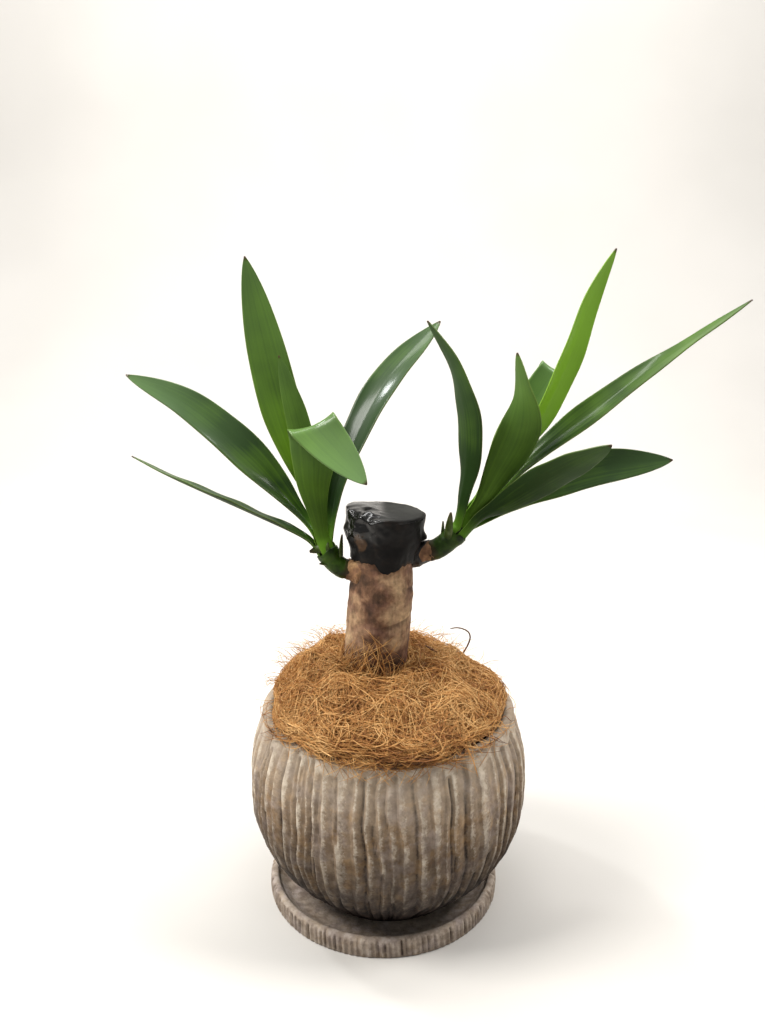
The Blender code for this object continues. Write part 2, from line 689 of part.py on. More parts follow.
def leaf_sections(leaf):
    """A leaf from its base, wrapped round the shoot in its layer, to its tip."""
    axis = shoot_path(leaf.shoot)
    start = leaf.shoot.layer_starts[leaf.layer] + 3 * GAP
    end = leaf.sheath_end * MM
    layer_radius = LAYER_RADII[leaf.layer]
    sheath = [axis.point(d) + layer_radius * outward(axis, d, leaf.azimuth)
              for d in (start, mix(start, end, 0.5), end)]
    path = Path(sheath + [Vector(p) * MM for p in leaf.centre])
    sheath_length = end - start
    blade_length = path.length - sheath_length
    facing = Vector(leaf.facing)
    tip_facing = Vector(leaf.tip_facing) if leaf.tip_facing else facing
    rows = []
    for k in range(leaf.stations + 1):
        distance = path.length * (k / leaf.stations) ** 1.4
        share = max(0.0, distance - sheath_length) / blade_length
        tangent = path.tangent(distance)
        looks = -outward(axis, start + min(distance, sheath_length), leaf.azimuth)
        looks = mix(looks, facing, smooth(share / 0.4))
        looks = mix(looks, tip_facing, smooth((share - 0.4) / 0.45))
        looks = (looks - tangent * looks.dot(tangent)).normalized()
        across = tangent.cross(looks)
        half_angle = mix(SHEATH_HALF_ANGLE, BLADE_HALF_ANGLE, smooth(share / 0.35))
        half_angle = mix(half_angle, TIP_HALF_ANGLE, smooth((share - 0.5) / 0.5))
        half_width = blade_half_width(leaf, share)
        rows.append((path.point(distance), looks, across, half_width, half_angle, tangent))
    sections = [leaf_section(*row[:5]) for row in rows]
    if leaf.fold:
        crease_row = min(rows, key=lambda row: (row[0] - Vector(leaf.fold.point) * MM).length)
        upward, underside = crease_row[5], -crease_row[1]
        sections = [tuple([fold_point(p, leaf.fold, upward, underside) for p in side] for side in section)
                    for section in sections]
    return sections


def build_leaf(name, leaf, material):
    return make_object(name, blade_mesh(leaf_sections(leaf)), material)


def bract_object(name, bract, material):
    """A small dry scale: a short pointed blade with its base sunk in the stem."""
    base, tip = Vector(bract.base) * MM, Vector(bract.tip) * MM
    tangent = (tip - base).normalized()
    looks = Vector(bract.facing)
    looks = (looks - tangent * looks.dot(tangent)).normalized()
    across = tangent.cross(looks)
    sections = []
    for share, width in ((0.0, 0.8), (0.35, 1.0), (0.7, 0.62), (1.0, 0.12)):
        half_width = bract.width * MM / 2 * width
        sections.append(leaf_section(mix(base, tip, share), looks, across, half_width, math.radians(35)))
    return make_object(name, blade_mesh(sections), material)


def build_stem(shoot):
    """A shoot's stem, stepped in where each layer of leaves grows from it, with its scales."""
    path = shoot_path(shoot)
    starts = shoot.layer_starts
    profile = [(0.0, shoot.radius), (0.5 * starts[0], shoot.radius * 0.97), (starts[0], shoot.radius)]
    for start, radius, after in zip(starts, STEM_STEP_RADII, starts[1:] + (shoot.bud_end,)):
        profile += [(start + 0.05 * MM, radius), (mix(start, after, 0.5), radius), (after, radius)]
    profile[-1] = (shoot.bud_end, 0.6 * MM)
    rings = [stem_ring(path, distance, radius) for distance, radius in profile]
    material = make_material(shoot.name + "_shoot_green", "4B6A22", 0.5)
    stem = make_object(shoot.name + "_stem_body", loft(rings), material)
    scales = [bract_object("%s_scale_%d" % (shoot.name, k), bract, material)
              for k, bract in enumerate(BRACTS[shoot.name])]
    return combine(shoot.name + "_shoot_stem", stem, scales, material)


def build_leaves():
    deep = make_material("leaf_green", "3F6B1E", 0.35)
    young = make_material("young_leaf_green", "6D9430", 0.4)
    pale = ("left_leaf_4", "right_leaf_4")
    for name, leaf in LEAVES.items():
        build_leaf(name, leaf, young if name in pale else deep)


def main():
    clear_scene()
    build_saucer()
    build_pot()
    build_soil()
    build_cane()
    build_coir()
    build_seal()
    build_stem(LEFT_SHOOT)
    build_stem(RIGHT_SHOOT)
    build_leaves()


main()
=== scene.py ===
# %% [markdown]
# # A potted yucca
# A short piece of yucca cane stands in a fluted stoneware pot, on a saucer. Two leafy shoots grow from its
# sides, its cut top is painted with black wound sealant, and coconut fibre (coir) covers the soil. The
# imported CAD model gives the size and place of every piece, so it is loaded first. Nothing made here may
# grow the plant or the pot past it.

# %% Load the CAD model
import functools
import math
import random

import bmesh
import bpy
import numpy as np
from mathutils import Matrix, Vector, noise


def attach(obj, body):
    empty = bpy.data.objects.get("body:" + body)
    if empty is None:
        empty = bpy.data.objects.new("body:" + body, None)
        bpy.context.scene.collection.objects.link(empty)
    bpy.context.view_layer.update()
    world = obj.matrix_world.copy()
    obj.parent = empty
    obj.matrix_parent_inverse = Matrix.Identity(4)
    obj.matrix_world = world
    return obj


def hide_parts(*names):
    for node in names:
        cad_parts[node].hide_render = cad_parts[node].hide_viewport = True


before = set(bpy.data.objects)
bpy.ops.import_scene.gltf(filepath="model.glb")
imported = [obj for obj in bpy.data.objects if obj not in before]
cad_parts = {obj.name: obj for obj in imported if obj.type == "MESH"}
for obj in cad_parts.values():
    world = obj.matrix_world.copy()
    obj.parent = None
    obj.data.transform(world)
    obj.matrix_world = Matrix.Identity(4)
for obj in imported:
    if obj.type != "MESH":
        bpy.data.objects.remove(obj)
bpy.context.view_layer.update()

MM = 0.001
FULL_TURN = 2 * math.pi
print("CAD nodes:", len(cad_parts))

# %% [markdown]
# ## The camera
# The photograph looks down a little on the plant from close by. The camera could
# be placed by eye, but here its height, its tilt and its lens were worked out
# from how the round rims of the pot and saucer look as ellipses, so that the
# finished picture can be laid over the photograph.

# %% Camera
IMAGE_WIDTH, IMAGE_HEIGHT = 765, 1024
SENSOR_MM = 36.0
FOCAL_PIXELS = 890.0
CAMERA_PLACE = (-0.0006, -0.478, 0.358)
LOOKS_DOWN = 14.5

camera_data = bpy.data.cameras.new("camera")
camera_data.sensor_width = SENSOR_MM
camera_data.lens = FOCAL_PIXELS * SENSOR_MM / max(IMAGE_WIDTH, IMAGE_HEIGHT)
camera_data.clip_start = 0.02
camera = bpy.data.objects.new("camera", camera_data)
camera.location = CAMERA_PLACE
camera.rotation_euler = (math.radians(90 - LOOKS_DOWN), 0, 0)
bpy.context.scene.collection.objects.link(camera)
bpy.context.scene.camera = camera
print("camera lens: %.1f mm" % camera_data.lens)

# %% [markdown]
# ## Nodes and colours
# A material in Blender is a small graph of nodes. A few helpers keep the recipes
# below short: one turns a colour from its usual hex code to the linear values
# that the shader needs, one sets or links the inputs of a node, one adds a node
# and feeds it, and one turns the real size of a pattern into its scale.

# %% Helpers for materials
# The output meant where only a node is named, what a kind of node is nearly
# always set to, and the inputs of a node that mixes two colours.
MAIN_OUTPUT = {"Attribute": "Fac", "TexCoord": "Object", "NewGeometry": "Normal"}
USUAL_SETTINGS = {"Mix": {"data_type": "RGBA"}}
SHARE, FIRST, SECOND = 0, 6, 7


def linear(code):
    """Linear colour of a six-digit sRGB hex code."""
    shares = [int(code[i:i + 2], 16) / 255 for i in (0, 2, 4)]
    return [s / 12.92 if s <= 0.04045 else ((s + 0.055) / 1.055) ** 2.4 for s in shares] + [1.0]


def feed(node, inputs):
    """Give inputs a number, a hex colour, or the node or output that feeds them."""
    for key, value in inputs.items():
        if isinstance(value, bpy.types.Node):
            named = MAIN_OUTPUT.get(value.bl_idname.removeprefix("ShaderNode"))
            value = value.outputs[named] if named else next(out for out in value.outputs if out.enabled)
        if isinstance(value, bpy.types.NodeSocket):
            node.id_data.links.new(value, node.inputs[key])
        else:
            node.inputs[key].default_value = linear(value) if isinstance(value, str) else value


def add_node(tree, kind, inputs=None, stops=(), **settings):
    """Add a node with its settings, its colour stops and what its inputs get."""
    node = tree.nodes.new("ShaderNode" + kind)
    for name, value in {**USUAL_SETTINGS.get(kind, {}), **settings}.items():
        setattr(node, name, value)
    for index, (place, code) in enumerate(stops):
        elements = node.color_ramp.elements
        element = elements[index] if index < 2 else elements.new(place)
        element.position, element.color = place, linear(code)
    feed(node, inputs or {})
    return node


def new_material(name):
    """A material, its Principled shader and a function that adds nodes to it."""
    material = bpy.data.materials.new(name)
    material.use_nodes = True
    tree = material.node_tree
    return material, tree.nodes["Principled BSDF"], functools.partial(add_node, tree)


def per_metre(size_mm):
    """Texture scale at which one pattern cell measures this many millimetres."""
    return 1000.0 / size_mm


print("one 2 mm cell is a texture scale of", per_metre(2))

# %% [markdown]
# ## Making a piece
# Nearly every piece here is a sheet that is bent to shape: a leaf is a flat
# sheet, and a cane is a sheet rolled into a tube. Blender's grid operator makes
# the flat sheet with its UV map, every corner is moved to its place, and the
# corners that meet are merged. Each finished piece rides on the CAD body and
# takes the place of its CAD node.

# %% Helpers for pieces
def bent_sheet(columns, rows, place):
    """A grid of faces with every corner moved to place(across, along), both from 0 to 1."""
    sheet = bmesh.new()
    sheet.loops.layers.uv.new("UVMap")
    bmesh.ops.create_grid(sheet, x_segments=columns, y_segments=rows, size=0.5, calc_uvs=True)
    for corner in sheet.verts:
        corner.co = place(corner.co.x + 0.5, corner.co.y + 0.5)
    bmesh.ops.remove_doubles(sheet, verts=sheet.verts, dist=1e-7)
    bmesh.ops.recalc_face_normals(sheet, faces=sheet.faces)
    return sheet


def finished_mesh(name, shape, materials):
    """A smooth-shaded mesh from a bmesh, which is used up."""
    mesh = bpy.data.meshes.new(name)
    shape.to_mesh(mesh)
    shape.free()
    mesh.shade_smooth()
    for material in materials:
        mesh.materials.append(material)
    return mesh


def make_piece(name, shape, materials, nodes):
    """A scene object from a bmesh, riding on the root body, in place of these CAD nodes."""
    piece = bpy.data.objects.new(name, finished_mesh(name, shape, materials))
    bpy.context.scene.collection.objects.link(piece)
    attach(piece, "root")
    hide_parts(*nodes)
    return piece


def keep_value(mesh, name, values):
    """Store a number for each corner of a mesh, or one for all, for its material to read."""
    layer = mesh.attributes.new(name, "FLOAT", "POINT")
    filled = np.zeros(len(layer.data), dtype=np.float32)
    filled[:] = values
    layer.data.foreach_set("value", filled)


def corners_of(mesh):
    """All corners of a mesh, as rows of x, y, z in metres."""
    flat = np.zeros(len(mesh.vertices) * 3)
    mesh.vertices.foreach_get("co", flat)
    return flat.reshape(-1, 3)


def clamped(value, least=0.0, most=1.0):
    """The value, or the nearer limit where it lies outside them."""
    return min(most, max(least, value))


def smooth(value):
    """Ease from 0 to 1 as value does, flat at both ends and clamped."""
    value = clamped(value)
    return value * value * (3 - 2 * value)


def mix(first, second, share):
    """The value at a share of the way from the first to the second."""
    return first + (second - first) * share


def lumps(point, size_mm, seed=0):
    """Smooth noise from -1 to 1 whose lumps are about this size."""
    return noise.noise(Vector(point) * per_metre(size_mm) + Vector((seed * 7.3, 0, 0)))


def outwards(turn):
    """Level unit vector along a bearing."""
    return Vector((math.cos(turn), math.sin(turn), 0))


def turned_from(turn, degrees):
    """Angle between a turn and a bearing in degrees, from 0 to half a turn."""
    return abs(math.remainder(turn - math.radians(degrees), FULL_TURN))


def near(turn, degrees, spread, away=0.0):
    """1 at a bearing, falling softly to 0; away is a distance in spreads across it."""
    return math.exp(-(turned_from(turn, degrees) / spread) ** 2 - away ** 2)


def curve_between(before, here, after, beyond, t):
    """A smooth curve from here to after, at t from 0 to 1; the outer two points set its slopes."""
    return 0.5 * (2 * here + (after - before) * t + (2 * before - 5 * here + 4 * after - beyond) * t ** 2
                  + (3 * here - before - 3 * after + beyond) * t ** 3)


print("helpers are ready")

# %% [markdown]
# ## The floor and the light
# The plant is shown on a plain pale floor that curves up behind it, as a paper
# sweep does in a studio, so there is no edge behind the leaves. The room in the
# photograph is lit softly from above, brighter from the left. Two large lamps
# above do the same here, a small one at the back left puts the bright gloss on
# the leaves, and a long one lights the paper behind the plant.

# %% Floor and light
SWEEP_HALF_WIDTH = 2.2
SWEEP_FRONT, SWEEP_BACK = -1.6, 1.5
SWEEP_HEIGHT = 2.4
SWEEP_CURVE, SWEEP_STEPS = 0.7, 12

sweep = bmesh.new()
profile = [(SWEEP_FRONT, 0.0), (SWEEP_BACK - SWEEP_CURVE, 0.0)]
for step in range(1, SWEEP_STEPS + 1):
    angle = math.pi / 2 * step / SWEEP_STEPS
    profile.append((SWEEP_BACK - SWEEP_CURVE + SWEEP_CURVE * math.sin(angle),
                    SWEEP_CURVE - SWEEP_CURVE * math.cos(angle)))
profile.append((SWEEP_BACK, SWEEP_HEIGHT))
line = [sweep.verts.new((-SWEEP_HALF_WIDTH, y, z)) for y, z in profile]
edges = [sweep.edges.new(pair) for pair in zip(line, line[1:])]
wide = bmesh.ops.extrude_edge_only(sweep, edges=edges)["geom"]
across = [item for item in wide if isinstance(item, bmesh.types.BMVert)]
bmesh.ops.translate(sweep, verts=across, vec=(2 * SWEEP_HALF_WIDTH, 0, 0))
bmesh.ops.recalc_face_normals(sweep, faces=sweep.faces)

# Matt paper, whose tone drifts a little over some 30 cm.
paper, shader, add = new_material("studio_paper")
drift = add("TexNoise", {"Vector": add("TexCoord"), "Scale": per_metre(300)})
tone = add("ValToRGB", {0: drift}, stops=((0.3, "C0BDB8"), (0.7, "C6C3BE")))
feed(shader, {"Base Color": tone, "Roughness": 0.95})

floor = bpy.data.objects.new("studio_floor", finished_mesh("studio_floor", sweep, [paper]))
bpy.context.scene.collection.objects.link(floor)

world = bpy.data.worlds.new("studio_air")
world.use_nodes = True
feed(world.node_tree.nodes["Background"], {"Color": (0.98, 0.99, 1.0, 1.0), "Strength": 0.36})
bpy.context.scene.world = world
bpy.context.scene.view_settings.view_transform = "Standard"

# Name, place, what it looks at, width and height in metres, watts, colour.
LAMPS = (
    ("ceiling_softbox", (-0.85, -0.20, 1.15), (0.0, 0.0, 0.15), 0.5, 0.5, 21.0, (1.0, 0.98, 0.95)),
    ("right_softbox", (0.80, -0.05, 1.15), (0.0, 0.0, 0.12), 0.4, 0.4, 12.0, (1.0, 0.98, 0.96)),
    ("rear_softbox", (-0.78, 0.42, 1.20), (0.0, 0.0, 0.25), 0.11, 0.11, 4.6, (0.97, 0.99, 1.0)),
    ("backdrop_softbox", (0.0, 0.35, 1.75), (0.0, 1.5, 0.55), 1.6, 0.5, 36.0, (1.0, 0.99, 0.98)),
)
for name, place, target, width, height, watts, colour in LAMPS:
    lamp = bpy.data.lights.new(name, "AREA")
    lamp.shape = "RECTANGLE"
    lamp.size, lamp.size_y = width, height
    lamp.energy, lamp.color = watts, colour
    holder = bpy.data.objects.new(name, lamp)
    holder.location = place
    holder.rotation_euler = (Vector(target) - Vector(place)).to_track_quat("-Z", "Y").to_euler()
    bpy.context.scene.collection.objects.link(holder)
print("floor and", len(LAMPS), "lamps")

# %% [markdown]
# ## The pot
# The pot is thick stoneware, thrown round and then fluted by hand: a loop tool
# was pulled down the wall again and again, and each pull left a shallow trough
# with a steep side and a thin crest beside it. A row of equal ribs would look
# like a machine's work. So the wall is first turned smooth, by spinning its
# outline once round, and then every pull of the tool is cut from it with its
# own width, depth, start and end.

# %% Pot outline
# The pot stands a little off the middle of its saucer.
POT_X = 2.7 * MM
POT_FOOT_Z = 5.3 * MM
POT_RIM_Z = 120.0 * MM
POT_RADII = [r * MM for r in (46.5, 68.6, 79.6, 82.0, 80.2, 72.4)]
POT_WALL = 8.5 * MM
POT_MOUTH = 62.0 * MM
POT_NECK_STARTS = 0.8
POT_FLOOR_Z = 14.3 * MM
POT_DRAIN = 8.0 * MM
POT_WEDGES, POT_WEDGE_STEPS = 64, 10
POT_ROWS = 92
RIM_HEIGHT = 3.0 * MM
RIM_HALF_WIDTH = 3.4 * MM
RIM_STEPS = 8
INSIDE_HEIGHTS = [z * MM for z in (113, 104, 92, 78, 64, 50, 38, 28, 20)]


def pot_radius(z):
    """The turned outline, a smooth curve through the radii at even heights."""
    place = (z - POT_FOOT_Z) / (POT_RIM_Z - POT_FOOT_Z) * (len(POT_RADII) - 1)
    index = clamped(int(place), 0, len(POT_RADII) - 2)
    here, after = POT_RADII[index], POT_RADII[index + 1]
    before = POT_RADII[index - 1] if index else 2 * here - after
    beyond = 2 * after - here if index + 2 >= len(POT_RADII) else POT_RADII[index + 2]
    return curve_between(before, here, after, beyond, place - index)


def pot_inner_radius(z):
    """The inside follows the outside, and closes in to the mouth at the neck."""
    neck = smooth((z - POT_NECK_STARTS * POT_RIM_Z) / ((1 - POT_NECK_STARTS) * POT_RIM_Z))
    return min(pot_radius(z) - POT_WALL, mix(POT_RADII[-2] - POT_WALL, POT_MOUTH, neck))


rim_base = POT_RIM_Z - RIM_HEIGHT
pot_outline = [(POT_DRAIN, POT_FOOT_Z), (POT_RADII[0] - 1.2 * MM, POT_FOOT_Z)]
for row in range(POT_ROWS + 1):
    height = mix(POT_FOOT_Z + 0.7 * MM, rim_base, row / POT_ROWS)
    pot_outline.append((pot_radius(height), height))
for step in range(1, RIM_STEPS):
    angle = math.pi * step / RIM_STEPS
    pot_outline.append((pot_radius(rim_base) - RIM_HALF_WIDTH * (1 - math.cos(angle)),
                        rim_base + RIM_HEIGHT * math.sin(angle)))
pot_outline += [(pot_inner_radius(height), height) for height in INSIDE_HEIGHTS]
pot_outline += [(pot_inner_radius(POT_FLOOR_Z) - 2 * MM, POT_FLOOR_Z), (POT_DRAIN, POT_FLOOR_Z)]
print("pot outline points:", len(pot_outline))


# %% Turn an outline on its axis
def turned(outline, centre_x, wedges, steps, looped):
    """Spin a line of (radius, height) points round an upright axis: one wedge, then its copies."""
    shape = bmesh.new()
    points = [shape.verts.new((centre_x + radius, 0, z)) for radius, z in outline]
    ends = points[1:] + points[:1] if looped else points[1:]
    sides = [shape.edges.new(pair) for pair in zip(points, ends)]
    axis = {"cent": (centre_x, 0, 0), "axis": (0, 0, 1)}
    wedge = FULL_TURN / wedges
    bmesh.ops.spin(shape, geom=points + sides, angle=wedge, steps=steps, **axis)
    bmesh.ops.spin(shape, geom=shape.verts[:] + shape.edges[:] + shape.faces[:],
                   angle=FULL_TURN - wedge, steps=wedges - 1, use_duplicate=True, **axis)
    bmesh.ops.remove_doubles(shape, verts=shape.verts, dist=0.003 * MM)
    bmesh.ops.recalc_face_normals(shape, faces=shape.faces)
    return shape


pot_shape = turned(pot_outline, POT_X, POT_WEDGES, POT_WEDGE_STEPS, looped=True)
print("pot faces:", len(pot_shape.faces), "open edges:", sum(e.is_boundary for e in pot_shape.edges))

# %% [markdown]
# ### The flutes
# One pull of the tool is about 8 mm wide and 1.2 to 2.9 mm deep. Seen from the
# front it gets slowly deeper to the right and ends in a steep wall, which
# catches the light as a pale line beside a dark one. Where two pulls meet, the
# deeper one wins, just as it does with real clay. Some pulls run from shoulder
# to foot, some are added low down and some are short.

# %% Cut the flutes
FLUTES = 66
FLUTE_DEPTH = 2.5 * MM
FLUTE_DEEPEST = 0.80
FLUTE_TOP_FADE, FLUTE_FOOT_FADE = 4 * MM, 7 * MM
# The tool wanders sideways in waves: size and turns round the pot and up it.
FLUTE_WANDER = ((0.012, 3, 60), (0.007, 8, -110), (0.004, 23, 260))


def pulls_of_the_tool():
    """Centre, half-width, top, bottom, depth and drift of every pull, round the pot."""
    draw = random.Random(23)
    pulls = []
    widths = [draw.uniform(0.55, 1.45) for _ in range(FLUTES)]
    start = 0.0
    for width in widths:
        width *= FULL_TURN / sum(widths)
        centre = start + width / 2
        start += width
        pulls.append((centre, 0.54 * width, draw.uniform(112, 119.5) * MM, draw.uniform(2, 24) * MM,
                      draw.uniform(0.5, 1.0) * FLUTE_DEPTH, draw.uniform(-0.4, 0.4)))
        if draw.random() < 0.85:
            pulls.append((centre + draw.uniform(-0.5, 0.5) * width, draw.uniform(0.25, 0.5) * width,
                          draw.uniform(26, 66) * MM, draw.uniform(0, 8) * MM,
                          draw.uniform(0.8, 1.15) * FLUTE_DEPTH, draw.uniform(-0.5, 0.5)))
        if draw.random() < 0.6:
            top = draw.uniform(56, 116)
            pulls.append((centre + draw.uniform(-0.5, 0.5) * width, draw.uniform(0.18, 0.4) * width,
                          top * MM, (top - draw.uniform(14, 45)) * MM,
                          draw.uniform(0.5, 1.0) * FLUTE_DEPTH, draw.uniform(-0.6, 0.6)))
    return pulls


def fluted(places):
    """How deep the tool has cut at each place on the pot's wall, in metres."""
    turns = np.arctan2(places[:, 1], places[:, 0] - POT_X)
    heights = places[:, 2]
    cut = np.zeros(len(places))
    wander = sum(size * np.sin(round_it * turns + up_it * heights)
                 for size, round_it, up_it in FLUTE_WANDER)
    for centre, half_width, top, bottom, depth, drift in pulls_of_the_tool():
        middle = centre + drift * half_width * (heights - 60 * MM) / (40 * MM)
        offset = (turns + wander - middle + math.pi) % FULL_TURN - math.pi
        across = (offset / half_width + 1) / 2
        rising = np.clip(across / FLUTE_DEEPEST, 0, 1)
        rising = 0.55 * rising + 0.45 * rising ** 4
        falling = np.clip((1 - across) / (1 - FLUTE_DEEPEST), 0, 1) ** 0.8
        ends = np.clip((top - heights) / FLUTE_TOP_FADE, 0, 1)
        ends = ends * np.clip((heights - bottom) / FLUTE_FOOT_FADE, 0, 1)
        ends = ends * ends * (3 - 2 * ends)
        cut = np.maximum(cut, depth * np.minimum(rising, falling) * ends)
    return cut


def carve(mesh, centre_x, on_wall, cut, swells):
    """Move the outer wall in by the cut and by soft swells: (height, width, seed) in millimetres."""
    places = corners_of(mesh)
    cut = cut + [MM * sum(high * (1 + lumps(p, wide, seed)) for high, wide, seed in swells) for p in places]
    spread = places[:, :2] - np.array((centre_x, 0.0))
    radii = np.maximum(np.linalg.norm(spread, axis=1), 1e-9)
    places[:, :2] -= spread / radii[:, None] * np.where(on_wall, cut, 0.0)[:, None]
    mesh.vertices.foreach_set("co", places.reshape(-1).astype(np.float32))
    mesh.update()


# %% [markdown]
# ### Stoneware
# The clay body fires to a grey brown that feels like dry stone. Its crests are painted pale, partly as real
# wear and partly as a painted highlight where they catch the light, and its troughs are painted dark as the
# shade in the hollows; ochre and grey clouds run over both. There is no glaze, so it is rough and hardly
# shines; fine grit and pinholes break the surface. The depth of every cut is kept on the mesh, so that the
# painted light and shade follow the flutes exactly.

# %% Stoneware material
def stoneware(name, crest, body, trough, ochre, lilac, foot_shade, painted_top_light):
    """Unglazed fluted stoneware: crests pale from wear and painted highlight, troughs painted dark as shade,
    grit and pinholes.
    """
    material, shader, add = new_material(name)
    place = add("TexCoord")
    # Grit of 0.6 mm, drawn at 1.4 mm so that it shows, makes the edges of the wash uneven.
    grit = add("TexNoise", {"Vector": place, "Scale": per_metre(1.4), "Detail": 4.0, "Roughness": 0.62})
    uneven = add("Math", {0: grit, 1: 0.44, 2: -0.22}, operation="MULTIPLY_ADD")
    depth = add("Math", {0: add("Attribute", attribute_name="cut"), 1: uneven}, operation="ADD")
    # Painted light and shade: where the tool cut little, the clay takes the pale crest colour, partly wear
    # and partly painted highlight; the deepest cuts take the dark trough colour as painted shade.
    tone = add("ValToRGB", {0: depth}, stops=((0.02, crest), (0.17, crest), (0.28, body), (0.58, body),
                                              (0.86, trough)))
    # Stains of ochre 9 mm across, of lilac grey 13 mm across and of duller clay 5 mm across.
    for colour, blend, size, detail, shift, start, end, first, last in (
            (ochre, "MIX", 9, 4.0, 0.3, 0.50, 0.62, 0.0, 0.55),
            (lilac, "MIX", 13, 4.0, 0.9, 0.48, 0.60, 0.0, 0.6),
            ("9A8C80", "MULTIPLY", 5, 5.0, 1.7, 0.40, 0.62, 0.6, 0.0)):
        moved = add("Mapping", {"Vector": place, "Location": (shift, 0.4 * shift, 0.0)})
        clouds = add("TexNoise", {"Vector": moved, "Scale": per_metre(size), "Detail": detail,
                                  "Roughness": 0.62})
        amount = add("MapRange", {"Value": clouds, "From Min": start, "From Max": end,
                                  "To Min": first, "To Max": last})
        tone = add("Mix", {SHARE: amount, FIRST: tone, SECOND: colour}, blend_type=blend)
    # Painted light: the shoulder is painted paler, as the light from above falls on it.
    height = add("SeparateXYZ", {0: place}).outputs["Z"]
    high = add("MapRange", {"Value": height, "From Min": 0.080, "From Max": 0.116, "To Max": painted_top_light})
    tone = add("Mix", {SHARE: high, FIRST: tone, SECOND: "B5A794"})
    # Painted shade: the lower part is darkened towards the foot, where little light reaches, along an uneven
    # edge of upright streaks 4 mm wide.
    upright = add("Mapping", {"Vector": place, "Scale": (1, 1, 0.15)})
    streaks = add("TexNoise", {"Vector": upright, "Scale": per_metre(4), "Detail": 3.0})
    reach = add("Math", {0: streaks, 1: -0.05, 2: 0.025}, operation="MULTIPLY_ADD")
    level = add("Math", {0: height, 1: reach}, operation="ADD")
    low = add("MapRange", {"Value": level, "From Min": 0.016, "From Max": 0.090, "To Min": foot_shade,
                           "To Max": 0.0})
    tone = add("Mix", {SHARE: low, FIRST: tone, SECOND: "3A2E26"}, blend_type="MULTIPLY")
    # Pinholes 1 mm across, some 4.5 mm apart, where gas left the clay.
    holes = add("TexVoronoi", {"Vector": place, "Scale": per_metre(4.5)})
    pits = add("MapRange", {"Value": holes, "From Min": 0.06, "From Max": 0.16})
    surface = add("Math", {0: pits, 1: 0.5, 2: grit}, operation="MULTIPLY_ADD")
    feed(shader, {"Base Color": tone, "Specular IOR Level": 0.3,
                  "Roughness": add("MapRange", {"Value": grit, "To Min": 0.68, "To Max": 0.92}),
                  "Normal": add("Bump", {"Height": surface, "Strength": 0.8, "Distance": 0.5 * MM})})
    return material


pot_clay = stoneware("fluted_stoneware_pot", crest="C8BBA9", body="917D67", trough="3A2D22",
                     ochre="9C7B52", lilac="968880", foot_shade=1.15, painted_top_light=0.45)

# %% Finish the pot
pot = make_piece("pot_body", pot_shape, [pot_clay], ["pot"])
pot_places = corners_of(pot.data)
from_axis = np.linalg.norm(pot_places[:, :2] - np.array((POT_X, 0.0)), axis=1)
wall_radii = np.array([pot_radius(clamped(z, POT_FOOT_Z, POT_RIM_Z)) for z in pot_places[:, 2]])
on_wall = (from_axis > wall_radii - 0.3 * MM) & (pot_places[:, 2] < rim_base + 0.1 * MM)
pot_cut = fluted(pot_places)
# The smooth shoulder isn't quite even either: the throwing left soft swells.
carve(pot.data, POT_X, on_wall, pot_cut, ((0.4, 22, 3), (0.3, 8, 4), (0.16, 3, 6)))
# The kept depth also sets the painted highlight on the crests and the painted shade in the troughs.
keep_value(pot.data, "cut", np.where(on_wall, 0.10 + 0.90 * pot_cut / FLUTE_DEPTH, 0.3))
print("pot: deepest cut %.1f mm" % (pot_cut.max() / MM))

# %% [markdown]
# ## The saucer
# The saucer comes from the same clay: a flat dish with a thick rounded lip, and
# 130 small upright notches pressed round its outer wall. It is turned in the
# same way, and the notches are cut with the same idea, on a smaller scale.

# %% Saucer outline and notches
SAUCER_RADIUS = 69.2 * MM
SAUCER_WEDGES, SAUCER_WEDGE_STEPS = 65, 16
NOTCHES = 130
NOTCH_DEPTH = 1.3 * MM
NOTCH_FADE = 1.2 * MM
LIP_MIDDLE, LIP_STARTS = 66.2, 8.3
LIP_HALF_WIDTH, LIP_HEIGHT, LIP_STEPS = 2.9, 3.1, 12

# Radius and height of each point, in millimetres.
saucer_outline = [(0, 0), (30, 0), (62, 0), (68.2, 0), (68.9, 0.7)]
for height in (1.5, 2.5, 3.5, 4.5, 5.5, 6.5, 7.5):
    saucer_outline.append((SAUCER_RADIUS / MM - 0.01 * (height - 5) ** 2, height))
for step in range(1, LIP_STEPS):
    angle = math.pi * step / LIP_STEPS
    saucer_outline.append((LIP_MIDDLE + LIP_HALF_WIDTH * math.cos(angle),
                           LIP_STARTS + LIP_HEIGHT * math.sin(angle)))
saucer_outline += [(62.2, 8.3), (60, 6.6), (57.5, 5.4), (55, 5.0), (30, 5.0), (0, 5.0)]
saucer_shape = turned([(radius * MM, height * MM) for radius, height in saucer_outline], 0.0,
                      SAUCER_WEDGES, SAUCER_WEDGE_STEPS, looped=False)


def notched(places):
    """How deep the notches are at each place on the saucer's outer wall, in metres."""
    turns = np.arctan2(places[:, 1], places[:, 0])
    heights = places[:, 2]
    draw = random.Random(5)
    deep, top, middle, half = (np.array([draw.uniform(*limits) for _ in range(NOTCHES)])
                               for limits in ((0.4, 1.0), (9.6, 12.2), (0.4, 0.6), (0.26, 0.46)))
    # They wave a little round the dish, and lean by a radian a metre.
    place = (turns + 0.012 * np.sin(9 * turns) + heights - 5 * MM) / FULL_TURN * NOTCHES % NOTCHES
    index = place.astype(int) % NOTCHES
    inside = np.clip(1 - np.abs(place - np.floor(place) - middle[index]) / half[index], 0, 1)
    ends = np.clip((top[index] * MM - heights) / NOTCH_FADE, 0, 1) * np.clip(heights / NOTCH_FADE, 0, 1)
    return NOTCH_DEPTH * deep[index] * inside ** 0.7 * ends


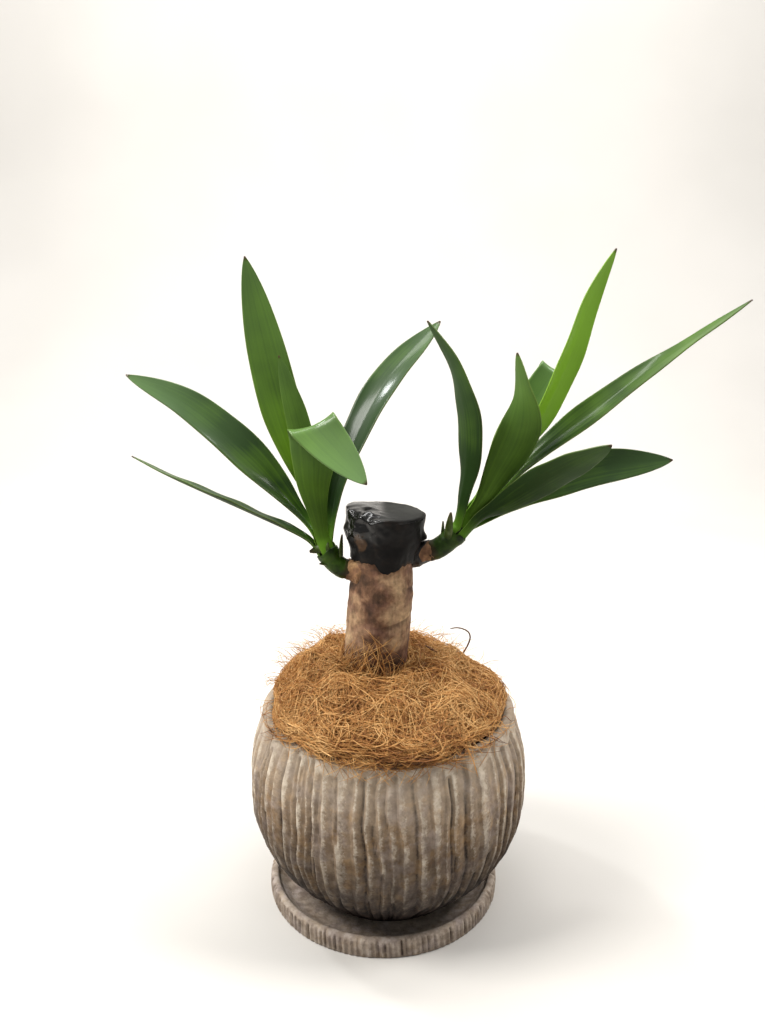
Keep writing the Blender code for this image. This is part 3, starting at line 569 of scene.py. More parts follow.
saucer_clay = stoneware("notched_stoneware_saucer", crest="AEA193", body="9F9183", trough="5A4E43",
                        ochre="9B8872", lilac="A39792", foot_shade=0.0, painted_top_light=0.0)
saucer = make_piece("saucer_dish", saucer_shape, [saucer_clay], ["saucer"])
saucer_places = corners_of(saucer.data)
from_axis = np.linalg.norm(saucer_places[:, :2], axis=1)
on_wall = from_axis > (LIP_MIDDLE - 1.5) * MM
saucer_cut = notched(saucer_places)
carve(saucer.data, 0.0, on_wall, saucer_cut, ((0.2, 16, 9), (0.15, 5, 8)))
# Painted shade: the floor inside the dish, under the pot, takes a darker tone than the lip, and the notches
# are darkened by their depth as the flutes are.
keep_value(saucer.data, "cut", np.where(on_wall, 0.18 + 0.82 * saucer_cut / NOTCH_DEPTH,
                                        np.where(from_axis < 61 * MM, 0.36, 0.20)))
print("saucer faces:", len(saucer.data.polygons))

# %% [markdown]
# ## The soil
# The soil fills the pot under the coir. Its CAD solid already has the right
# shape, so it stays, and only gets a finish: dark damp peat with crumbs a few
# millimetres across.

# %% Soil material
soil, shader, add = new_material("potting_peat")
place = add("TexCoord")
# Crumbs of peat 3 mm across, and fines of 1.5 mm.
crumbs = add("TexVoronoi", {"Vector": place, "Scale": per_metre(3)})
fines = add("TexNoise", {"Vector": place, "Scale": per_metre(1.5), "Detail": 4.0})
tone = add("ValToRGB", {0: fines}, stops=((0.3, "1E140D"), (0.6, "3A2A1E"), (0.8, "5A4330")))
feed(shader, {"Base Color": tone, "Roughness": 0.95,
              "Normal": add("Bump", {"Height": crumbs, "Strength": 0.8, "Distance": 1.0 * MM})})
for material_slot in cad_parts["potting_soil"].material_slots:
    material_slot.material = soil
print("soil slots:", len(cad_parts["potting_soil"].material_slots))

# %% [markdown]
# ## The cane
# The cane is a length of old yucca stem. Where leaves once sat it keeps ring
# scars, one over the other, and between them the thin bark is mottled brown and
# purple, with beige patches where it has peeled. The scars are low steps in the
# sheet before it is rolled up, and their depth is kept for the material.

# %% Cane shape
CANE_RADIUS = 19.0 * MM
CANE_TOP_RADIUS = 17.6 * MM
CANE_TAPER = (187 * MM, 203 * MM)
CANE_FOOT_Z = 45.0 * MM
CANE_TOP_Z = 232.5 * MM
CANE_LEAN = 0.076
CANE_X_AT_SOIL = -7.6 * MM
SOIL_Z = 108.0 * MM
CANE_COLUMNS = 150
CANE_ROWS = 230
SCAR_HEIGHTS = [z * MM for z in (60, 96, 129, 146, 158, 172, 194)]


def cane_x(z):
    return CANE_X_AT_SOIL + CANE_LEAN * (z - SOIL_Z)


def cane_middle(z):
    """The point on the cane's leaning axis at a height."""
    return Vector((cane_x(z), 0, z))


def cane_radius(z):
    low, high = CANE_TAPER
    return mix(CANE_RADIUS, CANE_TOP_RADIUS, smooth((z - low) / (high - low)))


def scar_depth(turn, z):
    """Depth of the ring scars, 0 to 1: a thin step that wanders up and down round the cane."""
    deepest = 0.0
    for k, scar_z in enumerate(SCAR_HEIGHTS):
        line = scar_z + 2.2 * MM * math.sin(turn + 1.7 * k) + 1.1 * MM * math.sin(2 * turn + 2.9 * k)
        away = (z - line) / MM
        step = math.exp(-(away / 0.8) ** 2) if away > 0 else math.exp(-(away / 2.6) ** 2)
        fade = 0.15 + 0.85 * math.sin(turn + 2.4 * k) ** 4
        deepest = max(deepest, step * fade)
    return deepest


def cane_place(across, along):
    turn = FULL_TURN * across
    share = (along * CANE_ROWS - 1) / (CANE_ROWS - 2)
    z = mix(CANE_FOOT_Z, CANE_TOP_Z, clamped(share))
    if along < 0.5 / CANE_ROWS or along > 1 - 0.5 / CANE_ROWS:
        return cane_middle(z)
    at = cane_middle(z) + CANE_RADIUS * outwards(turn)
    dent = 0.45 * scar_depth(turn, z) + 0.6 + 0.4 * lumps(at, 10, 1) + 0.35 * lumps(at, 4, 2)
    return cane_middle(z) + (cane_radius(z) - max(0.0, dent) * MM) * outwards(turn)


cane_shape = bent_sheet(CANE_COLUMNS, CANE_ROWS, cane_place)
print("cane faces:", len(cane_shape.faces))

# %% [markdown]
# ### Bark
# The colour of the bark changes in patches of about a centimetre. A second noise gives the purple stains, and
# the scar depth kept on the mesh darkens the steps. Fine upright fibres are drawn 1.5 mm apart. A few places
# were rubbed pale or stayed dark; they are listed one by one, as they lie in the photograph.
# Bark is dry, so it is nearly matt.

# %% Bark material
def bark(name, dark, brown, tan, pale, stain):
    """Thin dry bark: soft patches of brown and beige, purple stains, dark ring scars and tar."""
    material, shader, add = new_material(name)
    place = add("TexCoord")
    # Patches 14 mm across; where it was rubbed they turn pale.
    patches = add("TexNoise", {"Vector": place, "Scale": per_metre(14), "Detail": 6.0, "Roughness": 0.6,
                               "Distortion": 0.3})
    rubbed = add("Attribute", attribute_name="rubbed")
    level = add("Math", {0: rubbed, 1: 0.16, 2: patches}, operation="MULTIPLY_ADD")
    tone = add("ValToRGB", {0: level}, stops=((0.30, dark), (0.43, brown), (0.56, tan), (0.72, pale)))
    # Purple stains 11 mm across.
    moved = add("Mapping", {"Vector": place, "Location": (2.0, 0.5, 1.0)})
    stains = add("TexNoise", {"Vector": moved, "Scale": per_metre(11), "Detail": 3.0})
    stained = add("MapRange", {"Value": stains, "From Min": 0.5, "From Max": 0.66, "To Max": 0.5})
    tone = add("Mix", {SHARE: stained, FIRST: tone, SECOND: stain})
    # Fibres 1.5 mm apart and 12 mm long, and flecks of lichen and dirt 3 mm across.
    upright = add("Mapping", {"Vector": place, "Scale": (1, 1, 0.12)})
    fibres = add("TexNoise", {"Vector": upright, "Scale": per_metre(1.5), "Detail": 3.0})
    flecks = add("TexNoise", {"Vector": place, "Scale": per_metre(3), "Detail": 5.0, "Roughness": 0.6})
    both = add("Math", {0: fibres, 1: 0.4, 2: flecks}, operation="MULTIPLY_ADD")
    lines = add("MapRange", {"Value": both, "From Min": 0.5, "From Max": 0.9, "To Min": 0.56,
                             "To Max": 1.16})
    tone = add("Mix", {SHARE: 1.0, FIRST: tone, SECOND: lines}, blend_type="MULTIPLY")
    scar = add("Attribute", attribute_name="scar")
    scarred = add("MapRange", {"Value": scar, "From Min": 0.3, "To Max": 0.6})
    tone = add("Mix", {SHARE: scarred, FIRST: tone, SECOND: "33231A"})
    # Tar was brushed over part of a collar, with a ragged edge.
    ragged = add("Math", {0: flecks, 1: 0.5, 2: -0.25}, operation="MULTIPLY_ADD")
    ragged = add("Math", {0: add("Attribute", attribute_name="tar"), 1: ragged}, operation="ADD")
    tarred = add("MapRange", {"Value": ragged, "From Min": 0.45, "From Max": 0.55})
    tone = add("Mix", {SHARE: tarred, FIRST: tone, SECOND: "171412"})
    relief = add("Math", {0: flecks, 1: fibres}, operation="ADD")
    feed(shader, {"Base Color": tone, "Specular IOR Level": 0.3,
                  "Roughness": add("MapRange", {"Value": tarred, "To Min": 0.82, "To Max": 0.45}),
                  "Normal": add("Bump", {"Height": relief, "Strength": 0.7, "Distance": 0.6 * MM})})
    return material


# Places where the bark is rubbed pale (above 0) or still dark (below 0): bearing in
# degrees, height, half-width in degrees, half-height in millimetres and how much.
BARK_PATCHES = (
    (215, 196, 22, 8, -1.0), (255, 188, 24, 9, -0.9), (300, 190, 20, 12, 1.0), (330, 176, 24, 12, 0.7),
    (220, 176, 26, 5, 1.2), (250, 170, 20, 4, 1.0), (200, 160, 24, 10, 0.9), (245, 152, 20, 7, 0.3),
    (290, 164, 20, 7, 0.8), (275, 146, 30, 9, -1.2), (320, 150, 22, 9, -0.6), (275, 201, 26, 4, 0.3),
    (305, 176, 16, 9, 1.2), (270, 178, 16, 9, -0.7), (238, 200, 20, 4, -0.8),
)


def how_rubbed(turn, z):
    return sum(amount * near(turn, degrees, math.radians(wide), (z / MM - height) / tall)
               for degrees, height, wide, tall, amount in BARK_PATCHES)


cane_bark = bark("yucca_bark", "4A3424", "76553F", "A07F61", "BE9E79", "76544A")
cane = make_piece("cane_stem", cane_shape, [cane_bark], ["cane"])
cane_places = [(math.atan2(y, x - cane_x(z)), z) for x, y, z in corners_of(cane.data)]
keep_value(cane.data, "scar", [scar_depth(turn, z) for turn, z in cane_places])
keep_value(cane.data, "rubbed", [how_rubbed(turn, z) for turn, z in cane_places])
print("cane corners:", len(cane_places))

# %% [markdown]
# ## The line of a shoot
# Each shoot curves up and out from the side of the cane. Its line is a smooth
# curve through a few points, and everything on it, from the bark collar to the
# leaf bases, is placed by the distance along that line and the angle round it.

# %% A smooth line through points
class Line:
    """A smooth line through points, read by the distance along it."""

    STEPS = 12

    def __init__(self, points):
        ends = [points[0] * 2 - points[1], *points, points[-1] * 2 - points[-2]]
        self.points = [curve_between(*four, step / self.STEPS)
                       for four in zip(ends, ends[1:], ends[2:], ends[3:]) for step in range(self.STEPS)]
        self.points.append(points[-1].copy())
        self.lengths = [0.0]
        for a, b in zip(self.points, self.points[1:]):
            self.lengths.append(self.lengths[-1] + (b - a).length)
        self.length = self.lengths[-1]

    def point(self, distance):
        index = int(np.searchsorted(self.lengths, distance, side="left")) - 1
        index = clamped(index, 0, len(self.lengths) - 2)
        span = self.lengths[index + 1] - self.lengths[index]
        return mix(self.points[index], self.points[index + 1], (distance - self.lengths[index]) / span)

    def tangent(self, distance):
        return (self.point(distance + 1 * MM) - self.point(distance - 1 * MM)).normalized()

    def outward(self, distance, turn):
        """Unit vector away from the line: on an upright one, turn 0 is the front, a quarter the right."""
        tangent = self.tangent(distance)
        side = tangent.cross(Vector((0, -1, 0))).normalized()
        return side.cross(tangent) * math.cos(turn) + side * math.sin(turn)


def line_through(*points_mm):
    return Line([Vector(point) * MM for point in points_mm])


LINES = {
    "left": line_through((-20.9, -3, 202.3), (-23.5, -3, 203), (-28.5, -3, 207.4), (-32.6, -3, 215),
                         (-35.9, -2, 223.4), (-38, -1, 232.9), (-39.6, 0, 242.4)),
    "right": line_through((27.6, 0, 212.4), (30.6, 0, 213.5), (36, 0, 217.6), (43.2, 0, 225.2),
                          (49.1, 0, 234.4), (55.5, 1, 244.4), (62.5, 2, 255.5)),
}
SHOOT_RADII = {"left": 5.7 * MM, "right": 5.9 * MM}
print("shoot lengths:", {side: round(line.length / MM) for side, line in LINES.items()}, "mm")

# %% [markdown]
# ## The bark collars
# A shoot breaks through the old bark and leaves a short torn collar round its
# foot. It is a rolled sheet like the cane, wide where it leaves the cane and
# ragged at its end, in a drier bark. The sealant was brushed over part of it.

# %% Collars
COLLAR_COLUMNS, COLLAR_ROWS = 64, 22


def collar_shape(line, root, radius, flare):
    end = line.point(0.0) - 0.3 * MM * line.tangent(0.0)

    def place(across, along):
        turn = FULL_TURN * across
        row = round(along * COLLAR_ROWS)
        if row in (0, COLLAR_ROWS):
            return root.copy() if row == 0 else end.copy()
        share = (row - 1) / (COLLAR_ROWS - 2)
        # The torn end steps back by up to a millimetre, unevenly.
        tear = ((0.5 + 0.5 * math.sin(5 * turn + 1)) * 0.6 * MM
                + (0.5 + 0.5 * math.sin(11 * turn)) * 0.35 * MM)
        centre = mix(root, end, share) - line.tangent(0.0) * tear * smooth(3 * share - 2)
        # It opens like a trumpet where it grows out of the cane.
        opening = 1 - max(0.0, (share - 0.4) / 0.6)
        outward = line.outward(0.0, turn)
        at = centre + (radius + 0.2 * MM + flare * opening ** 2) * outward
        return at + outward * MM * (0.5 * lumps(at, 4, 5) + 0.2 * lumps(at, 1.5, 7))

    return bent_sheet(COLLAR_COLUMNS, COLLAR_ROWS, place)


def tar_on_collar(line, root, places, limits):
    """Sealant covers the collar up to a share of its length that differs round it."""
    axis = line.point(0.0) - root
    front, side = line.outward(0.0, 0.0), line.outward(0.0, math.pi / 2)
    tar = []
    for place in places:
        offset = Vector(place) - root
        turn = math.degrees(math.atan2(offset.dot(side), offset.dot(front))) % 360
        limit = np.interp(turn, *zip(*limits))
        tar.append(smooth(0.5 + 6 * (limit - offset.dot(axis) / axis.length_squared)))
    return tar


# Root and flare of each collar in millimetres, and how far the sealant reaches
# along it, as a share of its length, by the angle round it in degrees.
COLLARS = {
    "left": ((-10, -3, 201), 3.0, ((0, 0.0), (40, 0.3), (90, 0.9), (140, 0.5), (200, 0.0), (360, 0.0))),
    "right": ((12, 0, 209.5), 1.6, ((0, 0.48), (40, 0.56), (70, 1.2), (180, 0.9), (270, 0.95), (320, 0.74),
                                    (340, 0.6), (360, 0.48))),
}
torn_bark = bark("torn_collar_bark", "553A28", "7E5B40", "A07A54", "B8946A", "74523C")
for side, (root, flare, limits) in COLLARS.items():
    line, root = LINES[side], Vector(root) * MM
    shape = collar_shape(line, root, SHOOT_RADII[side], flare * MM)
    collar = make_piece("bark_collar_" + side, shape, [torn_bark], ["cane"])
    keep_value(collar.data, "tar", tar_on_collar(line, root, corners_of(collar.data), limits))
print("collars:", len(COLLARS))

# %% [markdown]
# ## The wound sealant
# The sawn top of the cane was painted with a thick bituminous sealant so that
# it doesn't dry out or rot. It went on as a paste: flat and dusty on top, with
# fat glossy lumps at the front left, where it covers an old stub, and a tongue
# that ran down the front. It is a cap with an inside, made as one rolled sheet
# that goes from the hidden ceiling, over the edge and up to the middle of the top.

# %% Sealant shape
SEAL_CROWN_Z = 233.0 * MM
SEAL_CEILING_Z = 232.6 * MM
SEAL_BEND = 2.4 * MM
SEAL_SLOPE = 0.080
SEAL_INSIDE = 17.97 * MM
SEAL_COLUMNS = 150
SEAL_WALL_ROWS, SEAL_SHOULDER_ROWS, SEAL_TOP_ROWS = 44, 8, 18
SEAL_ROWS = 4 + SEAL_WALL_ROWS + SEAL_SHOULDER_ROWS + SEAL_TOP_ROWS
SEAL_PASTE = 0.85 * MM
# Height of the lower edge by bearing in degrees: the tongue is at the front.
SEAL_EDGE = ((0, 209), (60, 210), (120, 208.6), (180, 209.6), (210, 209.2), (247, 209.5), (258, 209.2),
             (264, 206.2), (272, 203.8), (283, 204.7), (295, 205.7), (315, 208.5), (341, 207.8), (360, 209))
# Over the right collar the edge is this high.
SEAL_EDGE_AT_COLLAR = 219.4 * MM


def seal_edge(turn):
    """Height of the ragged lower edge at a bearing."""
    height = np.interp(math.degrees(turn) % 360, *zip(*SEAL_EDGE)) * MM
    ragged = 0.35 * math.sin(5 * turn + 0.6) + 0.3 * math.sin(13 * turn + 2)
    ragged += 0.3 * math.sin(23 * turn) + 0.25 * math.sin(37 * turn + 1)
    over_collar = smooth((0.44 - turned_from(turn, 0)) / 0.12)
    return mix(height + ragged * MM, SEAL_EDGE_AT_COLLAR, over_collar)


def over_stub(turn, z):
    """How much a place belongs to the lump over the old stub, at the front left of the top."""
    return near(turn, 222, 0.72) * smooth((z - 214 * MM) / (6 * MM))


def seal_radius(turn, z):
    """The cap's outside: thin at its edge, with swells at the left, the back left and the right collar."""
    left = near(turn, 190, 0.6)
    thick = smooth((z - seal_edge(turn) - 3.5 * MM * left) / (10 * MM))
    radius = mix(18.9 * MM, 20.3 * MM, thick) + 1.1 * MM * smooth((z - 216 * MM) / (18 * MM))
    radius += 1.8 * MM * left * math.exp(-((z - 227 * MM) / (9 * MM)) ** 2)
    radius += 2.4 * MM * near(turn, 155, 0.32, (z - 232 * MM) / (8 * MM))
    return radius + 4.4 * MM * near(turn, 0, 0.35, (z - 219.5 * MM) / (4 * MM))


def seal_paste(at, turn):
    """The paste stands up in lumps, fattest over the stub."""
    fat = over_stub(turn, at.z)
    coarse = lumps(at, 9, 11) * mix(0.8, 1.6, fat)
    fine = lumps(at, 4.5, 12) * mix(0.35, 1.8, fat) + lumps(at, 2.2, 13) * mix(0.2, 0.6, fat)
    return (coarse + fine) * SEAL_PASTE


def seal_place(across, along):
    turn = FULL_TURN * across
    row = round(along * SEAL_ROWS)
    direction = outwards(turn)
    if row < 3:
        z = SEAL_CEILING_Z if row < 2 else seal_edge(turn) + 0.25 * MM
        return cane_middle(z) + direction * (0 if row == 0 else SEAL_INSIDE)
    row -= 3
    if row <= SEAL_WALL_ROWS:
        share = row / SEAL_WALL_ROWS
        z = mix(seal_edge(turn), SEAL_CROWN_Z, share)
        at = cane_middle(z) + direction * seal_radius(turn, z)
        return at + direction * seal_paste(at, turn) * smooth(4 * share)
    row -= SEAL_WALL_ROWS
    crown = seal_radius(turn, SEAL_CROWN_Z)
    if row <= SEAL_SHOULDER_ROWS:
        angle = math.pi / 2 * row / SEAL_SHOULDER_ROWS
        radius = crown - SEAL_BEND * (1 - math.cos(angle))
        z = SEAL_CROWN_Z + SEAL_BEND * math.sin(angle)
    else:
        share = (row - SEAL_SHOULDER_ROWS) / (SEAL_TOP_ROWS + 1)
        radius = (crown - SEAL_BEND) * (1 - share)
        z = SEAL_CROWN_Z + SEAL_BEND
    at = cane_middle(z) + direction * radius
    paste = seal_paste(at, turn) * smooth(radius / crown)
    # The saw cut slopes down to the right, and the stub's lump rises over it.
    fat = over_stub(turn, z) * smooth(radius / (13 * MM))
    left = near(turn, 180, 0.75) * smooth(radius / (14 * MM))
    rise = (0.2 * lumps(at, 6, 14) + 0.12 * lumps(at, 2, 15)
            + fat * (0.3 + 2.2 * lumps(at, 5, 16)) + 1.7 * left)
    # The stub's lump falls away in a round shoulder.
    rise -= 1.6 * max(fat, 0.6 * left) * smooth((radius / crown - 0.7) / 0.3)
    at.z += rise * MM - SEAL_SLOPE * (at.x - 2 * MM)
    return at + direction * paste


# %% Sealant material
# Bitumen is black and glossy while it is fresh, and goes dull and grey with dust.
sealant, shader, add = new_material("bituminous_wound_sealant")
place = add("TexCoord")
wet = add("Attribute", attribute_name="wet")
# Dust settles where the paste faces up, in clouds of 6 mm, but not where it is wet.
upward = add("SeparateXYZ", {0: add("NewGeometry")}).outputs["Z"]
dusty = add("MapRange", {"Value": upward, "From Min": 0.72, "From Max": 0.97})
clouds = add("TexNoise", {"Vector": place, "Scale": per_metre(6), "Detail": 4.0})
cloudy = add("MapRange", {"Value": clouds, "From Min": 0.3, "From Max": 0.55, "To Min": 0.5})
dry = add("Math", {0: 1.0, 1: wet}, operation="SUBTRACT", use_clamp=True)
dust = add("Math", {0: dusty, 1: cloudy}, operation="MULTIPLY")
dust = add("Math", {0: dust, 1: dry}, operation="MULTIPLY")
tone = add("ValToRGB", {0: clouds}, stops=((0.3, "090808"), (0.55, "110F0E"), (0.75, "201812")))
# Brown bark shows through in smears where the coat is thin.
smears = add("TexNoise", {"Vector": place, "Scale": per_metre(4.5), "Detail": 3.0})
showing = add("Math", {0: add("Attribute", attribute_name="thin"), 1: smears}, operation="MULTIPLY")
bare = add("MapRange", {"Value": showing, "From Min": 0.30, "From Max": 0.44, "To Max": 0.85})
tone = add("Mix", {SHARE: bare, FIRST: tone, SECOND: "493626"})
tone = add("Mix", {SHARE: dust, FIRST: tone, SECOND: "383835"})
# Wet paste is smooth and shines in small glints, dry paste hardly does; wrinkles are 2 mm apart.
# A mix of plain numbers, as for the roughness, takes them at its inputs 2 and 3.
dull = add("MapRange", {"Value": dust, "To Min": 0.5, "To Max": 0.9})
wrinkles = add("TexNoise", {"Vector": place, "Scale": per_metre(2.2), "Detail": 2.0})
feed(shader, {"Base Color": tone,
              "Roughness": add("Mix", {0: wet, 2: dull, 3: 0.17}, data_type="FLOAT"),
              "Specular IOR Level": add("MapRange", {"Value": wet, "To Min": 0.12, "To Max": 0.45}),
              "Normal": add("Bump", {"Height": wrinkles, "Strength": 0.6, "Distance": 0.25 * MM})})

# %% Finish the sealant
seal = make_piece("sealant_cap", bent_sheet(SEAL_COLUMNS, SEAL_ROWS, seal_place), [sealant],
                  ["wound_sealant"])
thin_coat, wet_coat = [], []
for x, y, z in corners_of(seal.data):
    x -= cane_x(z)
    turn = math.atan2(y, x)
    near_edge = 1 - smooth((z - seal_edge(turn)) / (7 * MM))
    window = near(turn, 228, 0.30, (z - 221 * MM) / (7 * MM))
    thin_coat.append(max(0.8 * near_edge * near(turn, 315, 0.5), window))
    # The lump over the stub is wet, and so is the left part of the top.
    stub = over_stub(turn, z) * smooth((z - 219 * MM) / (8 * MM)) * smooth(math.hypot(x, y) / (12 * MM))
    top = smooth((z - 232 * MM) / (2 * MM)) * smooth(0.5 - (x + 2 * MM) / (6 * MM))
    wet_coat.append(min(1.0, max(0.8 * top, 1.3 * stub)))
keep_value(seal.data, "thin", thin_coat)
keep_value(seal.data, "wet", wet_coat)
print("sealant faces:", len(seal.data.polygons))

# %% [markdown]
# ## Leaves
# A yucca leaf is a long stiff blade. Its foot is wrapped round the shoot, then
# it widens, and it narrows again to a hard brown point. The upper face is a
# shallow gutter. Each leaf is one sheet: its middle line leaves the shoot and
# runs through a few measured points, and across that line the sheet is an arc.
# A live Solidify modifier then gives it the thickness of a leaf. Two of the
# leaves are creased and hang over, which bends everything past the crease.

# %% Leaf list
LAYER_RADII = (5.1 * MM, 3.7 * MM, 2.3 * MM)
LAYER_STARTS = {"left": (13 * MM, 18 * MM, 24 * MM), "right": (14 * MM, 21 * MM, 28 * MM)}
LEAF_BASE_GAP = 0.9 * MM
LEAF_THICKNESS = 0.7 * MM
SHEATH_HALF_ANGLE = math.radians(43)
BLADE_HALF_ANGLE = math.radians(24)
TIP_HALF_ANGLE = math.radians(9)
LEAF_COLUMNS, LEAF_ROWS, PROBE_ROW = 20, 110, 40
CREASE_BEND = 4 * MM
# How deep the fold and the waves of a leaf are in millimetres, and how close the waves.
LEAF_FOLD, LEAF_WAVE, LEAF_WAVES = 0.35, 0.35, 26
USUAL_BLOOM_AND_SHEEN = 0.24

# Angle round the shoot, layer, end of the sheath, width and where it is widest,
# then the middle line, where the upper face looks at mid-blade and at the tip,
# the crease (its point, its direction and how far the leaf bends there), how young the leaf is and how much
# painted light it gets, together from 0 to about 1, and how thick the grey bloom on its end is, which is
# partly wax and partly painted sheen.
# Lengths are in millimetres.
LEAVES = {
    "left_leaf_1": dict(
        turn=225, layer=1, sheath=27, width=21.5, widest=0.42,
        line=((-47, 5, 233), (-75, 13, 263.5), (-110, 21, 291.5), (-145, 26, 307.5)),
        looks=(0.3, -0.85, 0.45), young=0.03, bloom_and_sheen=0.6),
    "left_leaf_2": dict(
        turn=270, layer=0, sheath=20, width=19, widest=0.42,
        line=((-46, -5, 222.5), (-72, -9, 236.5), (-111, -14, 256.5), (-133, -15, 269)),
        looks=(0.43, 0.2, 0.86), young=0.0),
    "left_leaf_3": dict(
        turn=185, layer=2, sheath=34, width=23, widest=0.45,
        line=((-41, 5, 242), (-49, 9, 265), (-59.5, 15, 301), (-68, 19, 338), (-75, 21, 371.5)),
        looks=(0.1, -0.95, 0.2), young=0.34, bloom_and_sheen=0.4),
    "left_leaf_4": dict(
        turn=50, layer=2, sheath=34, width=13.5, widest=0.4,
        line=((-38.5, 2, 250), (-46, 4.5, 281), (-51, 6, 300), (-56.5, 8, 319.5)),
        looks=(0, 1, 0), young=0.38),
    "left_leaf_5": dict(
        turn=20, layer=0, sheath=25, width=25, widest=0.5,
        line=((-35, -9, 232), (-37.5, -12, 251), (-37.5, -13, 268), (-38, -13.5, 300), (-38.5, -14, 333)),
        looks=(0, 1, 0.05), crease=((-36.3, -13.5, 281.5), (0.927, 0, 0.375), 150),
        young=0.30, bloom_and_sheen=0.8),
    "left_leaf_6": dict(
        turn=140, layer=0, sheath=21, width=21, widest=0.58,
        line=((-28.3, 4, 235.7), (-24.5, 8, 252), (-12.8, 19, 280), (5, 34, 308), (33, 52, 336)),
        looks=(-0.55, -0.75, 0.35), young=0.0),
    "right_leaf_1": dict(
        turn=300, layer=0, sheath=22, width=20, widest=0.5,
        line=((42.8, -6, 243.8), (45.2, -9.5, 265), (43.1, -13.5, 292), (35.5, -15, 317.5),
              (22.5, -15, 339)),
        looks=(0.8, 0.6, 0), tip_looks=(0.96, 0.28, 0), young=0.0),
    "right_leaf_2": dict(
        turn=350, layer=1, sheath=31, width=22, widest=0.5,
        line=((53.6, -8, 243), (61.5, -12, 259.5), (69.7, -15, 277.4), (72.5, -19, 296),
              (67.6, -24, 323.5)),
        looks=(0, 1, 0), tip_looks=(0.85, 0.3, 0.2), young=0.30),
    "right_leaf_3": dict(
        turn=205, layer=1, sheath=33, width=20, widest=0.5,
        line=((55.5, 7.5, 245), (67.5, 13, 270), (83, 21, 290.5), (95.5, 27, 307.5), (121, 37, 341)),
        looks=(0.1, -0.95, 0.3), crease=((95.7, 27, 307.5), (0.825, 0.085, -0.56), 150),
        young=0.4, bloom_and_sheen=1.2),
    "right_leaf_4": dict(
        turn=255, layer=2, sheath=42, width=16.5, widest=0.5,
        line=((61.5, 2, 255), (82.4, 5, 279), (99.8, 8, 315.5), (111.6, 10, 350), (122.8, 10, 375)),
        looks=(0.5, -0.84, -0.2), young=1.05),
    "right_leaf_5": dict(
        turn=105, layer=1, sheath=33, width=16, widest=0.45,
        line=((67.5, 5, 248), (82, 7, 263), (107, 9, 283.5), (140.2, 10, 308.5), (196.6, 10, 349)),
        looks=(-0.4, -0.67, 0.62), tip_looks=(-0.52, -0.15, 0.84), young=0.12),
    "right_leaf_6": dict(
        turn=40, layer=0, sheath=22, width=20, widest=0.5,
        line=((54.3, -7, 233.5), (68, -12, 243), (82, -23, 255.5), (97, -42, 270.5), (108.5, -60, 283)),
        looks=(-0.2, 0.95, 0.1), young=0.0),
    "right_leaf_7": dict(
        turn=150, layer=0, sheath=22, width=21.5, widest=0.52,
        line=((55.3, 4, 230.5), (70, 6, 239.3), (87.6, 8, 247.8), (119.3, 10, 257.5), (160.8, 8, 262.2)),
        looks=(-0.1, -0.9, 0.35), young=0.08),
}
print("leaves:", len(LEAVES))


# %% Bend and place a leaf
def half_width(leaf, share):
    """Half the leaf's width at a share of the blade."""
    full = leaf["width"] * MM / 2
    if share < leaf["widest"]:
        return mix(LAYER_RADII[leaf["layer"]] * SHEATH_HALF_ANGLE, full, smooth(share / leaf["widest"]))
    past = (share - leaf["widest"]) / (1 - leaf["widest"])
    return max(0.25 * MM, full * max(0.0, 1 - past ** 2.3) ** 0.8)


def creased(point, crease, ahead, under):
    """Bend what lies past a crease over, towards the underside."""
    origin, along, full = Vector(crease[0]) * MM, Vector(crease[1]).normalized(), math.radians(crease[2])
    ahead = (ahead - along * ahead.dot(along)).normalized()
    over = along.cross(ahead)
    if over.dot(under) < 0:
        over.negate()
    offset = point - origin
    past = offset.dot(ahead)
    if past <= 0:
        return point
    angle = min(past / CREASE_BEND, full)
    depth = CREASE_BEND - offset.dot(over)
    moved = ahead * (depth * math.sin(angle)) + over * (CREASE_BEND - depth * math.cos(angle))
    moved += (ahead * math.cos(full) + over * math.sin(full)) * max(0.0, past - CREASE_BEND * full)
    return origin + along * offset.dot(along) + moved


def leaf_stations(leaf, line, starts):
    """For each row: its middle, where its face looks, its side, half-width, arc, tangent and share."""
    start, end = starts[leaf["layer"]] + LEAF_BASE_GAP, leaf["sheath"] * MM
    turn = math.radians(leaf["turn"])
    radius = LAYER_RADII[leaf["layer"]]
    sheath = [line.point(d) + radius * line.outward(d, turn) for d in (start, (start + end) / 2, end)]
    middle = Line(sheath + [Vector(p) * MM for p in leaf["line"]])
    blade = middle.length - (end - start)
    looks_mid = Vector(leaf["looks"])
    looks_tip = Vector(leaf.get("tip_looks", leaf["looks"]))
    stations = []
    for row in range(LEAF_ROWS + 1):
        distance = middle.length * (row / LEAF_ROWS) ** 1.15
        share = max(0.0, distance - (end - start)) / blade
        tangent = middle.tangent(distance)
        looks = -line.outward(start + min(distance, end - start), turn)
        looks = mix(looks, looks_mid, smooth(share / 0.4))
        looks = mix(looks, looks_tip, smooth((share - 0.4) / 0.45))
        looks = (looks - tangent * looks.dot(tangent)).normalized()
        arc = mix(SHEATH_HALF_ANGLE, BLADE_HALF_ANGLE, smooth(share / 0.35))
        arc = mix(arc, TIP_HALF_ANGLE, smooth((share - 0.5) / 0.5))
        stations.append((middle.point(distance), looks, tangent.cross(looks), half_width(leaf, share), arc,
                         tangent, share))
    return stations


def facing(sheet, face, looks):
    """Turn the sheet over if this face of it doesn't look the given way."""
    if face.normal.dot(looks) < 0:
        bmesh.ops.reverse_faces(sheet, faces=sheet.faces)
    return sheet


def arc_across(centre, looks, side, half_width_here, arc, across):
    """A point of the arc that a sheet makes across its middle line."""
    bend = half_width_here / arc
    angle = arc * (2 * across - 1)
    return centre + looks * bend + (side * math.sin(angle) - looks * math.cos(angle)) * bend


